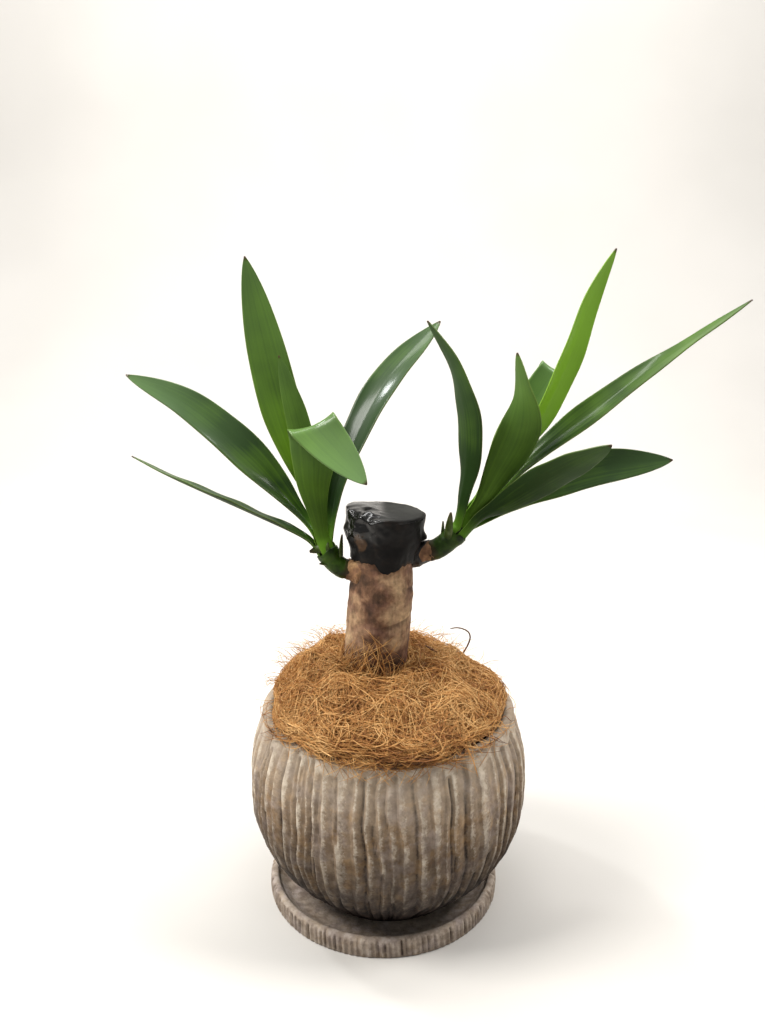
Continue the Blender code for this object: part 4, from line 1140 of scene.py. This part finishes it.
def leaf_shape(leaf, line, starts, seed):
    stations = leaf_stations(leaf, line, starts)
    if "crease" in leaf:
        crease_at = Vector(leaf["crease"][0]) * MM
        nearest = min(stations, key=lambda station: (station[0] - crease_at).length)

    def place(across, along):
        *station, tangent, share = stations[round(along * LEAF_ROWS)]
        at = arc_across(*station, across)
        looks = station[1]
        # A fold along the midrib, and margins that wave by a third of a millimetre.
        edge = abs(2 * across - 1)
        at -= looks * LEAF_FOLD * MM * (1 - smooth(edge * 3)) * smooth(share * 6) * (1 - share)
        wave = math.sin(LEAF_WAVES * share + seed + (2.0 if across > 0.5 else 0.0)) * LEAF_WAVE * MM
        at += looks * wave * edge ** 3 * smooth(share * 5) * (1 - share ** 4)
        if "crease" in leaf:
            at = creased(at, leaf["crease"], nearest[5], -nearest[1])
        return at

    sheet = bent_sheet(LEAF_COLUMNS, LEAF_ROWS, place)
    probe_at, looks = stations[PROBE_ROW][:2]
    probe = min(sheet.faces, key=lambda face: (face.calc_center_median() - probe_at).length)
    return facing(sheet, probe, looks)


# %% [markdown]
# ### Leaf green
# The upper face is a deep glossy green under a thin coat of wax, with fine veins that run the whole length,
# fresher towards the foot and paler along a hair-thin margin. New leaves in the heart of a shoot are yellow
# green, and the same value also paints light and shade: a leaf lit through from behind is painted fresher and
# brighter, one in shade deeper. Towards the tips the wax is thick enough to look grey, and on leaves that
# face the bright room this grey is set stronger as a painted sheen. The underside is duller. The leaf's own
# UV map says how far across and along the blade a point is, so the veins follow every bend.

# %% Leaf materials
def leaf_green(name, deep, fresh, foot, roughness, shine, coat):
    """One face of a leaf: veined green that turns fresher at the foot and grey and brown at the tip."""
    material, shader, add = new_material(name)
    uv = add("UVMap", uv_map="UVMap")
    parts = add("SeparateXYZ", {0: uv})
    across, along = parts.outputs["X"], parts.outputs["Y"]
    # A blade is 20 mm wide, so 16 cells across give veins 1.3 mm apart, coarser than
    # the real half millimetre, which would be too fine to see.
    veins_at = add("Mapping", {"Vector": uv, "Scale": (16.0, 1.3, 1.0)})
    veins = add("TexNoise", {"Vector": veins_at, "Scale": 1.0, "Detail": 3.0, "Roughness": 0.55})
    # The veins and drifts of 28 mm make the green fresher or deeper than the leaf's own value, which holds
    # both its age and its painted light.
    drift = add("TexNoise", {"Vector": add("TexCoord"), "Scale": per_metre(28), "Detail": 2.0})
    youth_and_light_here = add("Attribute", attribute_name="young")
    for pattern, most, clamped in ((veins, 0.08, False), (drift, 0.12, True)):
        change = add("MapRange", {"Value": pattern, "From Min": 0.3, "From Max": 0.7, "To Min": -most,
                                  "To Max": most})
        youth_and_light_here = add("Math", {0: youth_and_light_here, 1: change}, operation="ADD", use_clamp=clamped)
    tone = add("Mix", {SHARE: youth_and_light_here, FIRST: deep, SECOND: fresh})
    near_foot = add("MapRange", {"Value": along, "From Min": 0.02, "From Max": 0.22, "To Min": 0.65,
                                 "To Max": 0.0}, interpolation_type="SMOOTHSTEP")
    off_middle = add("Math", {0: across, 1: 0.5}, operation="SUBTRACT")
    off_middle = add("Math", {0: off_middle}, operation="ABSOLUTE")
    margin = add("MapRange", {"Value": off_middle, "From Min": 0.475, "From Max": 0.497, "To Max": 0.20})
    # A thin grey bloom of wax, thickest towards the tip, and the hard brown point. On leaves that face the
    # bright room the grey is set stronger, as a painted sheen.
    bloom_and_sheen = add("MapRange", {"Value": along, "From Min": 0.4, "From Max": 0.95})
    bloom_and_sheen = add("Math", {0: bloom_and_sheen, 1: add("Attribute", attribute_name="bloom_and_sheen")}, operation="MULTIPLY",
                use_clamp=True)
    point = add("MapRange", {"Value": along, "From Min": 0.982, "From Max": 0.996})
    for amount, colour in ((near_foot, foot), (margin, "8FA052"), (bloom_and_sheen, "5F7B4E"), (point, "3B2A1A")):
        tone = add("Mix", {SHARE: amount, FIRST: tone, SECOND: colour})
    feed(shader, {"Base Color": tone, "Specular IOR Level": shine,
                  "Coat Weight": coat, "Coat Roughness": 0.16,
                  "Roughness": add("MapRange", {"Value": veins, "To Min": roughness - 0.06,
                                                "To Max": roughness + 0.08}),
                  "Normal": add("Bump", {"Height": veins, "Strength": 0.25, "Distance": 0.25 * MM})})
    return material


upper_face = leaf_green("waxy_leaf_upper_face", "162D07", "78A624", "66961F", 0.44, 0.12, 0.25)
under_face = leaf_green("dull_leaf_underside", "1A2F0B", "6E962C", "5F8C20", 0.60, 0.10, 0.0)

# %% Make the leaves
def thicken(piece, inner_material=0):
    """A live modifier that gives a sheet the thickness of a leaf."""
    wall = piece.modifiers.new("thickness", "SOLIDIFY")
    wall.thickness = LEAF_THICKNESS
    wall.offset = -1.0
    wall.material_offset = inner_material


for number, (name, leaf) in enumerate(LEAVES.items()):
    side = name.split("_")[0]
    blade = make_piece(name + "_blade", leaf_shape(leaf, LINES[side], LAYER_STARTS[side], number),
                       [upper_face, under_face], [name])
    keep_value(blade.data, "young", leaf["young"])
    keep_value(blade.data, "bloom_and_sheen", leaf.get("bloom_and_sheen", USUAL_BLOOM_AND_SHEEN))
    thicken(blade, inner_material=1)
print("leaf blades made:", number + 1)

# %% [markdown]
# ## The stems of the shoots
# Below its leaves a shoot is a short green stem, with a ring at every place
# where a leaf sat, and a few small dry scales. The stem is a rolled sheet again;
# it steps in under each layer of leaf bases, so the bases lie round it like the
# coats of an onion.

# %% Stems and scales
STEM_COLUMNS, STEM_ROWS, LAYER_ROWS = 48, 26, 9
STEM_STEP_RADII = (4.4 * MM, 3.0 * MM, 1.6 * MM)
CUP_RADIUS = 6.5 * MM
RING_SPACING = 3.4
BUD_ENDS = {"left": 31 * MM, "right": 36 * MM}
SCALE_HALF_ANGLE = math.radians(35)
SCALE_COLUMNS, SCALE_ROWS = 8, 20
# Base, tip, width and where the upper face looks, of each scale, in millimetres.
SCALES = {
    "left": (((-23.5, -3.5, 207), (-23.3, -4, 222.5), 5, (-0.9, 0.3, 0)),
             ((-30.5, -5, 205), (-35.5, -6, 206.5), 5, (0.5, 0.2, 0.8)),
             ((-30.0, -8.2, 217.5), (-40.8, -5.5, 213.0), 5, (0.2, 0.9, -0.4))),
    "right": (((35.2, -4.4, 219.2), (37, -8, 236.3), 4.5, (0.5, 0.85, 0)),
              ((32.5, 1.5, 219), (33.5, 2, 228.5), 4, (0.8, -0.3, -0.4))),
}


def stem_outline(radius, starts, bud_end):
    """The stem from end to end as (distance, radius, share of the cup's uneven height)."""
    cup = starts[0]
    outline = [(mix(-2.5 * MM, cup - 2.5 * MM, k / STEM_ROWS), radius, 0.0) for k in range(STEM_ROWS + 1)]
    outline += [(cup - 1.5 * MM, mix(radius, CUP_RADIUS, 0.3), 0.0),
                (cup - 0.5 * MM, mix(radius, CUP_RADIUS, 0.7), 0.0)]
    outline += [(cup, CUP_RADIUS, share) for share in (0.0, 0.3, 0.6, 0.9)]
    outline += [(cup, CUP_RADIUS - 0.15 * MM, 1.0), (cup, CUP_RADIUS - 0.45 * MM, 0.98)]
    outline += [(cup, CUP_RADIUS - 0.55 * MM, share) for share in (0.7, 0.3)]
    outline += [(cup - 0.3 * MM, CUP_RADIUS - 0.6 * MM, 0.0), (cup - 0.3 * MM, STEM_STEP_RADII[0], 0.0)]
    for level, (start, end) in enumerate(zip(starts, [*starts[1:], bud_end])):
        for k in range(LAYER_ROWS + 1):
            # The innermost layer runs to a point.
            thin = 1 - 0.96 * smooth(k / LAYER_ROWS) if level == 2 else 1
            outline.append((mix(start, end, k / LAYER_ROWS), STEM_STEP_RADII[level] * thin, 0.0))
    return [(outline[0][0], 0.0, 0.0), *outline, (outline[-1][0], 0.0, 0.0)]


def stem_shape(line, radius, starts, bud_end):
    outline = stem_outline(radius, starts, bud_end)

    def place(across, along):
        distance, wide, share = outline[round(along * (len(outline) - 1))]
        turn = FULL_TURN * across
        lip = 2.6 + 1.2 * math.sin(turn + 0.9) + 0.35 * math.sin(3 * turn) + 0.2 * math.sin(8 * turn)
        distance += share * lip * MM
        if 0 < wide and distance < starts[0] - 1 * MM:
            half = RING_SPACING / 2
            ring = abs((distance / MM + 0.5 * math.sin(turn)) % RING_SPACING - half) / half
            wide -= 0.15 * MM * smooth(4 * ring - 3)
        return line.point(distance) + wide * line.outward(distance, turn)

    return bent_sheet(STEM_COLUMNS, len(outline) - 1, place)


def scale_shape(base, tip, width, looks):
    base, tip = Vector(base) * MM, Vector(tip) * MM
    tangent = (tip - base).normalized()
    looks = Vector(looks)
    looks = (looks - tangent * looks.dot(tangent)).normalized()
    side = tangent.cross(looks)

    def place(across, along):
        wide = width * MM / 2 * max(0.06, math.sin(math.pi * (0.28 + 0.7 * along)) ** 0.8)
        return arc_across(mix(base, tip, along), looks, side, wide, SCALE_HALF_ANGLE, across)

    sheet = bent_sheet(SCALE_COLUMNS, SCALE_ROWS, place)
    sheet.faces.ensure_lookup_table()
    return facing(sheet, sheet.faces[0], looks)


def stem_green(name, dark, green, pale, dry, dry_end):
    """Smooth skin of a new shoot: green clouds, going dry and brown towards one end of the piece."""
    material, shader, add = new_material(name)
    # Clouds of green 7 mm across.
    clouds = add("TexNoise", {"Vector": add("TexCoord"), "Scale": per_metre(7), "Detail": 3.0})
    tone = add("ValToRGB", {0: clouds}, stops=((0.36, dark), (0.52, green), (0.72, pale)))
    along = add("SeparateXYZ", {0: add("UVMap", uv_map="UVMap")}).outputs["Y"]
    start, end = dry_end
    drying = add("MapRange", {"Value": along, "From Min": start, "From Max": end, "To Max": 0.85})
    feed(shader, {"Base Color": add("Mix", {SHARE: drying, FIRST: tone, SECOND: dry}),
                  "Roughness": 0.42, "Specular IOR Level": 0.16,
                  "Normal": add("Bump", {"Height": clouds, "Strength": 0.3, "Distance": 0.3 * MM})})
    return material


stem_skin = stem_green("young_shoot_skin", "182707", "293F0C", "3B5717", "38261A", (0.17, 0.06))
scale_skin = stem_green("dry_shoot_scale", "26330F", "3C4A1C", "5F6A48", "3A2A1A", (0.6, 1.0))
for side, line in LINES.items():
    node = side + "_shoot_stem"
    shape = stem_shape(line, SHOOT_RADII[side], LAYER_STARTS[side], BUD_ENDS[side])
    make_piece(side + "_stem", shape, [stem_skin], [node])
    for number, scale in enumerate(SCALES[side]):
        blade = make_piece("%s_scale_%d" % (side, number + 1), scale_shape(*scale), [scale_skin],
                           [node])
        thicken(blade)
print("stems: 2, scales:", sum(len(scales) for scales in SCALES.values()))

# %% [markdown]
# ## The coir
# Coir is the fibre of coconut husk: springy golden brown hairs, matted and curled. Here they are 0.2 to 0.8
# mm thick, a little more than real ones, so that they show. Particle hair would be quick, but it is lost when
# the model leaves Blender. So a mound fills the body of the heap, painted darker as the shade in the gaps
# between fibres, and thousands of real thin tubes lie over it in layers, the lower ones painted darker as the
# shade they lie in. Each is a curve with a few points that wanders over the mound, given its thickness by a
# three-sided section and then turned into a mesh.

# %% The mound
COIR_HEAP_Z = 145.0 * MM
COIR_EDGE_Z = 123.5 * MM
COIR_SIDE_REACH = 67.0 * MM
COIR_FRONT_REACH = 73.5 * MM
COIR_HOLE = CANE_RADIUS + 0.33 * MM
COIR_FLOOR_Z = 110.8 * MM
COIR_UNDER_Z = 120.3 * MM
MOUND_COLUMNS, MOUND_TOP_ROWS = 200, 54
MOUND_ROWS = MOUND_TOP_ROWS + 5
# The bed lies this far below the top of the heap, which the fibres fill.
MOUND_DEPTH = 1.6 * MM
CANE_X_AT_RIM = cane_x(POT_RIM_Z)


def from_cane(turn, radius):
    """Distance from the cane, along a bearing, to a circle of this radius round the pot's axis."""
    offset = POT_X - CANE_X_AT_RIM
    return offset * math.cos(turn) + math.sqrt(radius ** 2 - (offset * math.sin(turn)) ** 2)


def beside_cane(turn, distance):
    """The x and y at a bearing and a distance from the cane's axis at the rim."""
    return CANE_X_AT_RIM + distance * math.cos(turn), distance * math.sin(turn)


def reach_of_heap(turn):
    """Distance from the cane to the ragged edge of the heap along a bearing."""
    front = max(0.0, -math.sin(turn)) ** 2
    ragged = 1.2 * MM * math.sin(5 * turn + 1) + 0.9 * MM * math.sin(9 * turn)
    return from_cane(turn, mix(COIR_SIDE_REACH, COIR_FRONT_REACH, front)) + ragged


def heap_height(x, y):
    """Height of the mound over a point, and how far out it is: 0 at the cane, 1 at the edge."""
    turn = math.atan2(y, x - CANE_X_AT_RIM)
    distance = math.hypot(x - CANE_X_AT_RIM, y)
    share = (distance - COIR_HOLE) / (reach_of_heap(turn) - COIR_HOLE)
    inside = clamped(share)
    swell = math.sin(7 * turn + 9 * inside) + math.sin(4 * turn - 14 * inside + 2)
    z = mix(COIR_EDGE_Z, COIR_HEAP_Z, 1 - inside ** 2) + 1.6 * MM * swell * math.sin(math.pi * inside)
    z += 2.6 * MM * lumps((x, y, 0), 20, 61) * math.sin(math.pi * inside) ** 0.5
    # It is heaped up behind and beside the cane, and hollow just before it.
    z += 4.5 * MM * near(turn, 160, 0.9, (inside - 0.35) / 0.4)
    z += 4.0 * MM * near(turn, 62, 0.8, (inside - 0.35) / 0.4)
    z -= 4.0 * MM * near(turn, 285, 0.9, inside / 0.16)
    if share > 1:
        z = mix(z, POT_RIM_Z - 1 * MM, smooth((share - 1) / 0.05))
    return z, share


def mound_place(across, along):
    turn = FULL_TURN * across
    row = round(along * MOUND_ROWS)
    reach = reach_of_heap(turn)
    if row in (0, MOUND_ROWS):
        distance, z = COIR_HOLE, COIR_FLOOR_Z
    elif row <= MOUND_TOP_ROWS:
        share = (row - 1) / (MOUND_TOP_ROWS - 1)
        distance = mix(COIR_HOLE, reach, share)
        x, y = beside_cane(turn, distance)
        z = heap_height(x, y)[0] - MOUND_DEPTH
        z += (1.0 * lumps((x, y, z), 6, 21) + 0.6 * lumps((x, y, z), 2.5, 22)) * MM * smooth(3 * share)
    else:
        # Underneath it goes in over the rim and down inside the pot's mouth.
        mouth = from_cane(turn, POT_MOUTH - 0.6 * MM)
        distance, z = ((reach - 0.6 * MM, 121.2 * MM), (reach - 2 * MM, COIR_UNDER_Z), (mouth, COIR_UNDER_Z),
                       (mouth, COIR_FLOOR_Z))[row - MOUND_TOP_ROWS - 1]
    lean = cane_x(z) - CANE_X_AT_RIM if distance == COIR_HOLE else 0.0
    x, y = beside_cane(turn, distance)
    return Vector((x + lean, y, z))


# %% Coir materials
def coir(name, shadow, brown, gold, straw):
    """Coconut fibre: dull golden brown hairs that differ in tone from one to the next."""
    material, shader, add = new_material(name)
    # Whole tufts of about 17 mm are lighter or darker, and so is each 2.5 mm of a fibre.
    place = add("TexCoord")
    tufts = add("TexNoise", {"Vector": place, "Scale": per_metre(17), "Detail": 2.0})
    hairs = add("TexNoise", {"Vector": place, "Scale": per_metre(2.5), "Detail": 2.0})
    both = add("Math", {0: tufts, 1: 1.4, 2: hairs}, operation="MULTIPLY_ADD")
    change = add("MapRange", {"Value": both, "From Min": 0.80, "From Max": 1.60, "To Min": -0.30,
                              "To Max": 0.30}, clamp=False)
    # Each piece's own tone is set lower where it lies deeper in the heap, as painted shade.
    own = add("Attribute", attribute_name="tone")
    total = add("Math", {0: own, 1: change}, operation="ADD", use_clamp=True)
    tone = add("ValToRGB", {0: total}, stops=((0.05, shadow), (0.32, brown), (0.6, gold), (0.95, straw)))
    feed(shader, {"Base Color": tone, "Roughness": 0.62, "Specular IOR Level": 0.35,
                  "Normal": add("Bump", {"Height": hairs, "Strength": 0.6, "Distance": 0.4 * MM})})
    return material


# The bed is painted darker than the loose fibres, as the shade in the gaps between them.
coir_under = coir("matted_coir_bed_in_painted_shade", "4A2D17", "744B25", "936534", "A97A42")
coir_over = coir("loose_coir_fibre", "55341A", "935F2F", "B98548", "D6AA6E")
mound = make_piece("coir_mound", bent_sheet(MOUND_COLUMNS, MOUND_ROWS, mound_place), [coir_under],
                   ["coir_mulch"])
keep_value(mound.data, "tone", 0.4)
print("mound faces:", len(mound.data.polygons))

# %% [markdown]
# ### The fibres
# A fibre starts somewhere on the mound with some heading, and every few
# millimetres it turns a little, which gives the loops and curls of real coir.
# Its middle lifts off the mound and its ends sink in. One list of these lines
# becomes one curve object, and the curve becomes a mesh with closed pointed
# ends; the tone of each fibre is kept on its corners.

# %% Helpers for fibres
# How much thinner a fibre gets towards its ends.
FIBRE_TAPER = 0.35


def lie_of_the_coir(x, y, seed):
    """Heading that neighbouring fibres share: round the cane, in swirls some 35 mm wide."""
    round_it = math.atan2(y, x - CANE_X_AT_RIM) + math.pi / 2
    return round_it + 2.6 * lumps((x, y, 0), 35, seed) + 1.2 * lumps((x, y, 0), 12, seed + 1)


def fibre_line(draw, x, y, count, length, lift, curl, depth, seed):
    """Points of one fibre that wanders over the mound from a starting point."""
    heading = lie_of_the_coir(x, y, seed) + draw.gauss(0, 0.7) + draw.choice((0, math.pi))
    bend = draw.gauss(0, curl)
    step = length / (count - 1)
    edge = draw.uniform(0.94, 1.035)
    points = []
    for k in range(count):
        z, out = heap_height(x, y)
        if out > edge:
            # A fibre at the edge of the heap is pushed back and runs along it.
            x = CANE_X_AT_RIM + (x - CANE_X_AT_RIM) * edge / out
            y *= edge / out
            z = heap_height(x, y)[0]
        points.append(Vector((x, y, z + depth + lift * math.sin(math.pi * k / (count - 1)))))
        bend += draw.gauss(0, 0.3 * curl)
        heading += bend
        x += step * math.cos(heading)
        y += step * math.sin(heading)
    return points


def clear_of_cane(point, room):
    """Push a point out of the cane."""
    centre_x = cane_x(point.z)
    distance = math.hypot(point.x - centre_x, point.y)
    least = cane_radius(point.z) + room
    if distance >= least or point.z > CANE_TOP_Z:
        return point
    scale = least / max(distance, 1e-6)
    return Vector((centre_x + (point.x - centre_x) * scale, point.y * scale, point.z))


def fibre_mesh(name, fibres):
    """One mesh of thin three-sided tubes; a fibre is (points, radius, tone)."""
    section = bpy.data.curves.new("fibre_section", "CURVE")
    ring = section.splines.new("POLY")
    ring.points.add(2)
    for k, point in enumerate(ring.points):
        point.co = (math.cos(FULL_TURN * k / 3), math.sin(FULL_TURN * k / 3), 0, 1)
    ring.use_cyclic_u = True
    section_object = bpy.data.objects.new("fibre_section", section)
    curve = bpy.data.curves.new(name, "CURVE")
    curve.dimensions = "3D"
    curve.bevel_mode = "OBJECT"
    curve.bevel_object = section_object
    tones = []
    for points, radius, tone in fibres:
        thread = curve.splines.new("POLY")
        last = len(points) - 1
        thread.points.add(last)
        for k, (corner, point) in enumerate(zip(thread.points, points)):
            taper = 1 - FIBRE_TAPER * abs(2 * k / last - 1)
            corner.co = (*point, 1)
            corner.radius = radius * taper if 0 < k < last else 0.0
        tones += [tone] * (3 * len(points))
    holder = bpy.data.objects.new(name, curve)
    bpy.context.scene.collection.objects.link(holder)
    view = bpy.context.evaluated_depsgraph_get()
    mesh = bpy.data.meshes.new_from_object(holder.evaluated_get(view))
    for item in (holder, section_object):
        bpy.data.objects.remove(item, do_unlink=True)
    keep_value(mesh, "tone", tones)
    shape = bmesh.new()
    shape.from_mesh(mesh)
    bmesh.ops.remove_doubles(shape, verts=shape.verts, dist=1e-7)
    bmesh.ops.recalc_face_normals(shape, faces=shape.faces)
    return shape


def scatter_fibres(count, seed, points, length, radius, lift, curl, depth, tone):
    """Fibres started evenly over the mound; each pair is the least and most of its value."""
    draw = random.Random(seed)
    fibres = []
    while len(fibres) < count:
        turn = draw.uniform(0, FULL_TURN)
        share = math.sqrt(draw.uniform(0.0, 1.0))
        x, y = beside_cane(turn, mix(COIR_HOLE, reach_of_heap(turn), share))
        line = fibre_line(draw, x, y, points, draw.uniform(*length) * MM, draw.uniform(*lift) * MM,
                          curl, draw.uniform(*depth) * MM, seed)
        line = [clear_of_cane(point, 0.6 * MM) for point in line]
        fibres.append((line, draw.uniform(*radius) * MM, clamped(draw.gauss(*tone))))
    return fibres


# %% Lay the fibres
# How many, the seed, points each, then length, radius, lift, curl and depth on the mound in millimetres, and
# the middle and spread of their tone. The top is lightest; the lower layers are painted darker as the shade
# under the fibres above them.
LAYERS = {
    "coir_fibres_low": (2600, 31, 8, (18, 42), (0.24, 0.40), (0.0, 1.4), 0.12, (-1.4, 0.2), (0.40, 0.17)),
    "coir_fibres_middle": (3200, 32, 10, (22, 50), (0.17, 0.32), (0.3, 2.6), 0.14, (-0.8, 0.8), (0.54, 0.17)),
    "coir_fibres_top": (2900, 33, 11, (20, 52), (0.13, 0.26), (0.8, 5.0), 0.17, (-0.4, 1.2), (0.64, 0.17)),
}
for name, layer in LAYERS.items():
    shape = fibre_mesh(name, scatter_fibres(*layer))
    piece = make_piece(name, shape, [coir_over], ["coir_mulch"])
    print(name, "faces:", len(piece.data.polygons))

# %% [markdown]
# ### Hairs that stand out
# What makes coir look like coir is its outline: thin hairs that spring out over
# the pot, some that hang down its front, some that cling to the foot of the
# cane, and a dark curl of husk at the back right.

# %% Loose hairs
# Springing hairs stay this near the pot's axis, in millimetres.
HAIRS_WITHIN = 80


def drawn_hair(points, radius, tone, count=9):
    """A hair through given points in millimetres."""
    line = line_through(*points)
    return [line.point(line.length * k / (count - 1)) for k in range(count)], radius * MM, tone


def springing_hairs(count, seed, bearings, shares, rises):
    """Hairs rooted in the mound that arch up and out of it, but stay over the pot."""
    draw = random.Random(seed)
    hairs = []
    while len(hairs) < count:
        turn = math.radians(draw.uniform(*bearings))
        x, y = beside_cane(turn, mix(COIR_HOLE, reach_of_heap(turn), draw.uniform(*shares)))
        z = heap_height(x, y)[0]
        heading = turn + draw.gauss(0, 1.2)
        length = draw.uniform(7, 26)
        rise = draw.uniform(*rises)
        swing = draw.gauss(0, 0.8)
        points = []
        for k in range(5):
            t = k / 4
            forward = length * t * (1 - 0.35 * rise * t)
            up = -1.5 + length * rise * (t - 0.55 * t * t) * 0.9
            at = heading + swing * t + draw.gauss(0, 0.08)
            point = Vector((x / MM + forward * math.cos(at), y / MM + forward * math.sin(at), z / MM + up))
            points.append(clear_of_cane(point * MM, 0.8 * MM) / MM)
        tone = clamped(draw.gauss(0.72, 0.15))
        if max(math.hypot(p[0] - POT_X / MM, p[1]) for p in points) < HAIRS_WITHIN:
            hairs.append(drawn_hair(points, draw.uniform(0.09, 0.17), tone))
    return hairs


def climbing_hairs(tufts, seed):
    """Tufts that lean from the mound on to the foot of the cane, thickest at its front left."""
    draw = random.Random(seed)
    hairs = []
    for _ in range(tufts):
        where = draw.random()
        turn = draw.gauss(-1.9, 0.6) if where < 0.5 else draw.gauss(-2.75, 0.3)
        if where > 0.75:
            turn = draw.uniform(0, math.pi)
        top = draw.uniform(140, 151) if draw.random() < 0.65 else draw.uniform(149, 168)
        slant = draw.gauss(0, 0.5)
        away = draw.uniform(1, 15)
        for _ in range(draw.randint(2, 6)):
            reach = top + draw.gauss(0, 3)
            spread = draw.gauss(0, 0.2)
            bow = draw.gauss(0, 0.35)
            points = []
            for k in range(6):
                share = k / 5
                z = mix(136, reach, share)
                at = turn + slant * share ** 1.5 + spread * share + bow * math.sin(math.pi * share)
                room = cane_radius(z * MM) / MM + draw.uniform(0.3, 1.3) + away * (1 - share) ** 2
                points.append((cane_x(z * MM) / MM + room * math.cos(at), room * math.sin(at), z))
            tone = clamped(draw.gauss(0.6, 0.2))
            hairs.append(drawn_hair(points, draw.uniform(0.12, 0.26), tone))
    return hairs


def edge_hairs(count, seed):
    """Hairs that leave the front edge of the heap and bend or hang over the rim of the pot."""
    draw = random.Random(seed)
    hairs = []
    for _ in range(count):
        turn = math.radians(draw.gauss(268, 32))
        swing = draw.gauss(0, 0.16)
        start = draw.uniform(62, 70)
        low = draw.uniform(109, 119.9) if draw.random() < 0.3 else draw.uniform(117, 120.2)
        room = draw.uniform(0.4, 1.8)
        over = pot_radius(POT_RIM_Z) / MM + draw.uniform(0.3, 1.6)
        half_down = mix(low, 120, 0.5)
        line = ((start, 126 - 0.35 * (start - 64)), (0.5 * (start + over), draw.uniform(123.5, 126)),
                (over, 121.4), (pot_radius(half_down * MM) / MM + room, half_down),
                (pot_radius(low * MM) / MM + room, low))
        points = []
        for k, (distance, z) in enumerate(line):
            at = turn + swing * k / 2
            points.append((POT_X / MM + distance * math.cos(at), distance * math.sin(at), z))
        hairs.append(drawn_hair(points, draw.uniform(0.12, 0.24), clamped(draw.gauss(0.58, 0.18))))
    return hairs


hairs = springing_hairs(700, 41, (0, 360), (0.15, 0.96), (0.15, 0.95))
# More of them stand up behind and beside the cane, where the heap looks like a halo.
hairs += springing_hairs(560, 43, (10, 195), (0.1, 0.8), (0.7, 1.3))
hairs += climbing_hairs(115, 42)
hairs += edge_hairs(330, 44)
# A pale strand along the front edge, a brown thread over it at the right, a dark
# curl of husk behind the cane and a flake beside it.
hairs += [
    drawn_hair(((-44, -40, 127), (-38, -55, 124.5), (-31, -66, 124), (-24, -71.5, 123)), 0.45, 0.95),
    drawn_hair(((40, -52, 126), (44, -60, 122), (47, -64.5, 116), (49, -66.5, 109)), 0.3, 0.4),
    drawn_hair(((39.6, 25, 154.9), (45, 25, 155.6), (50.4, 24, 154), (52.1, 22, 150.9), (50.1, 19, 146.4),
                (46.4, 14, 142.8), (42.4, 4, 142.6)), 0.65, 0.02, 24),
    drawn_hair(((24, 12, 150), (28, 11, 148), (32, 10, 146)), 0.9, 0.02),
]
make_piece("coir_hairs", fibre_mesh("coir_hairs", hairs), [coir_over], ["coir_mulch"])
print("loose hairs:", len(hairs))
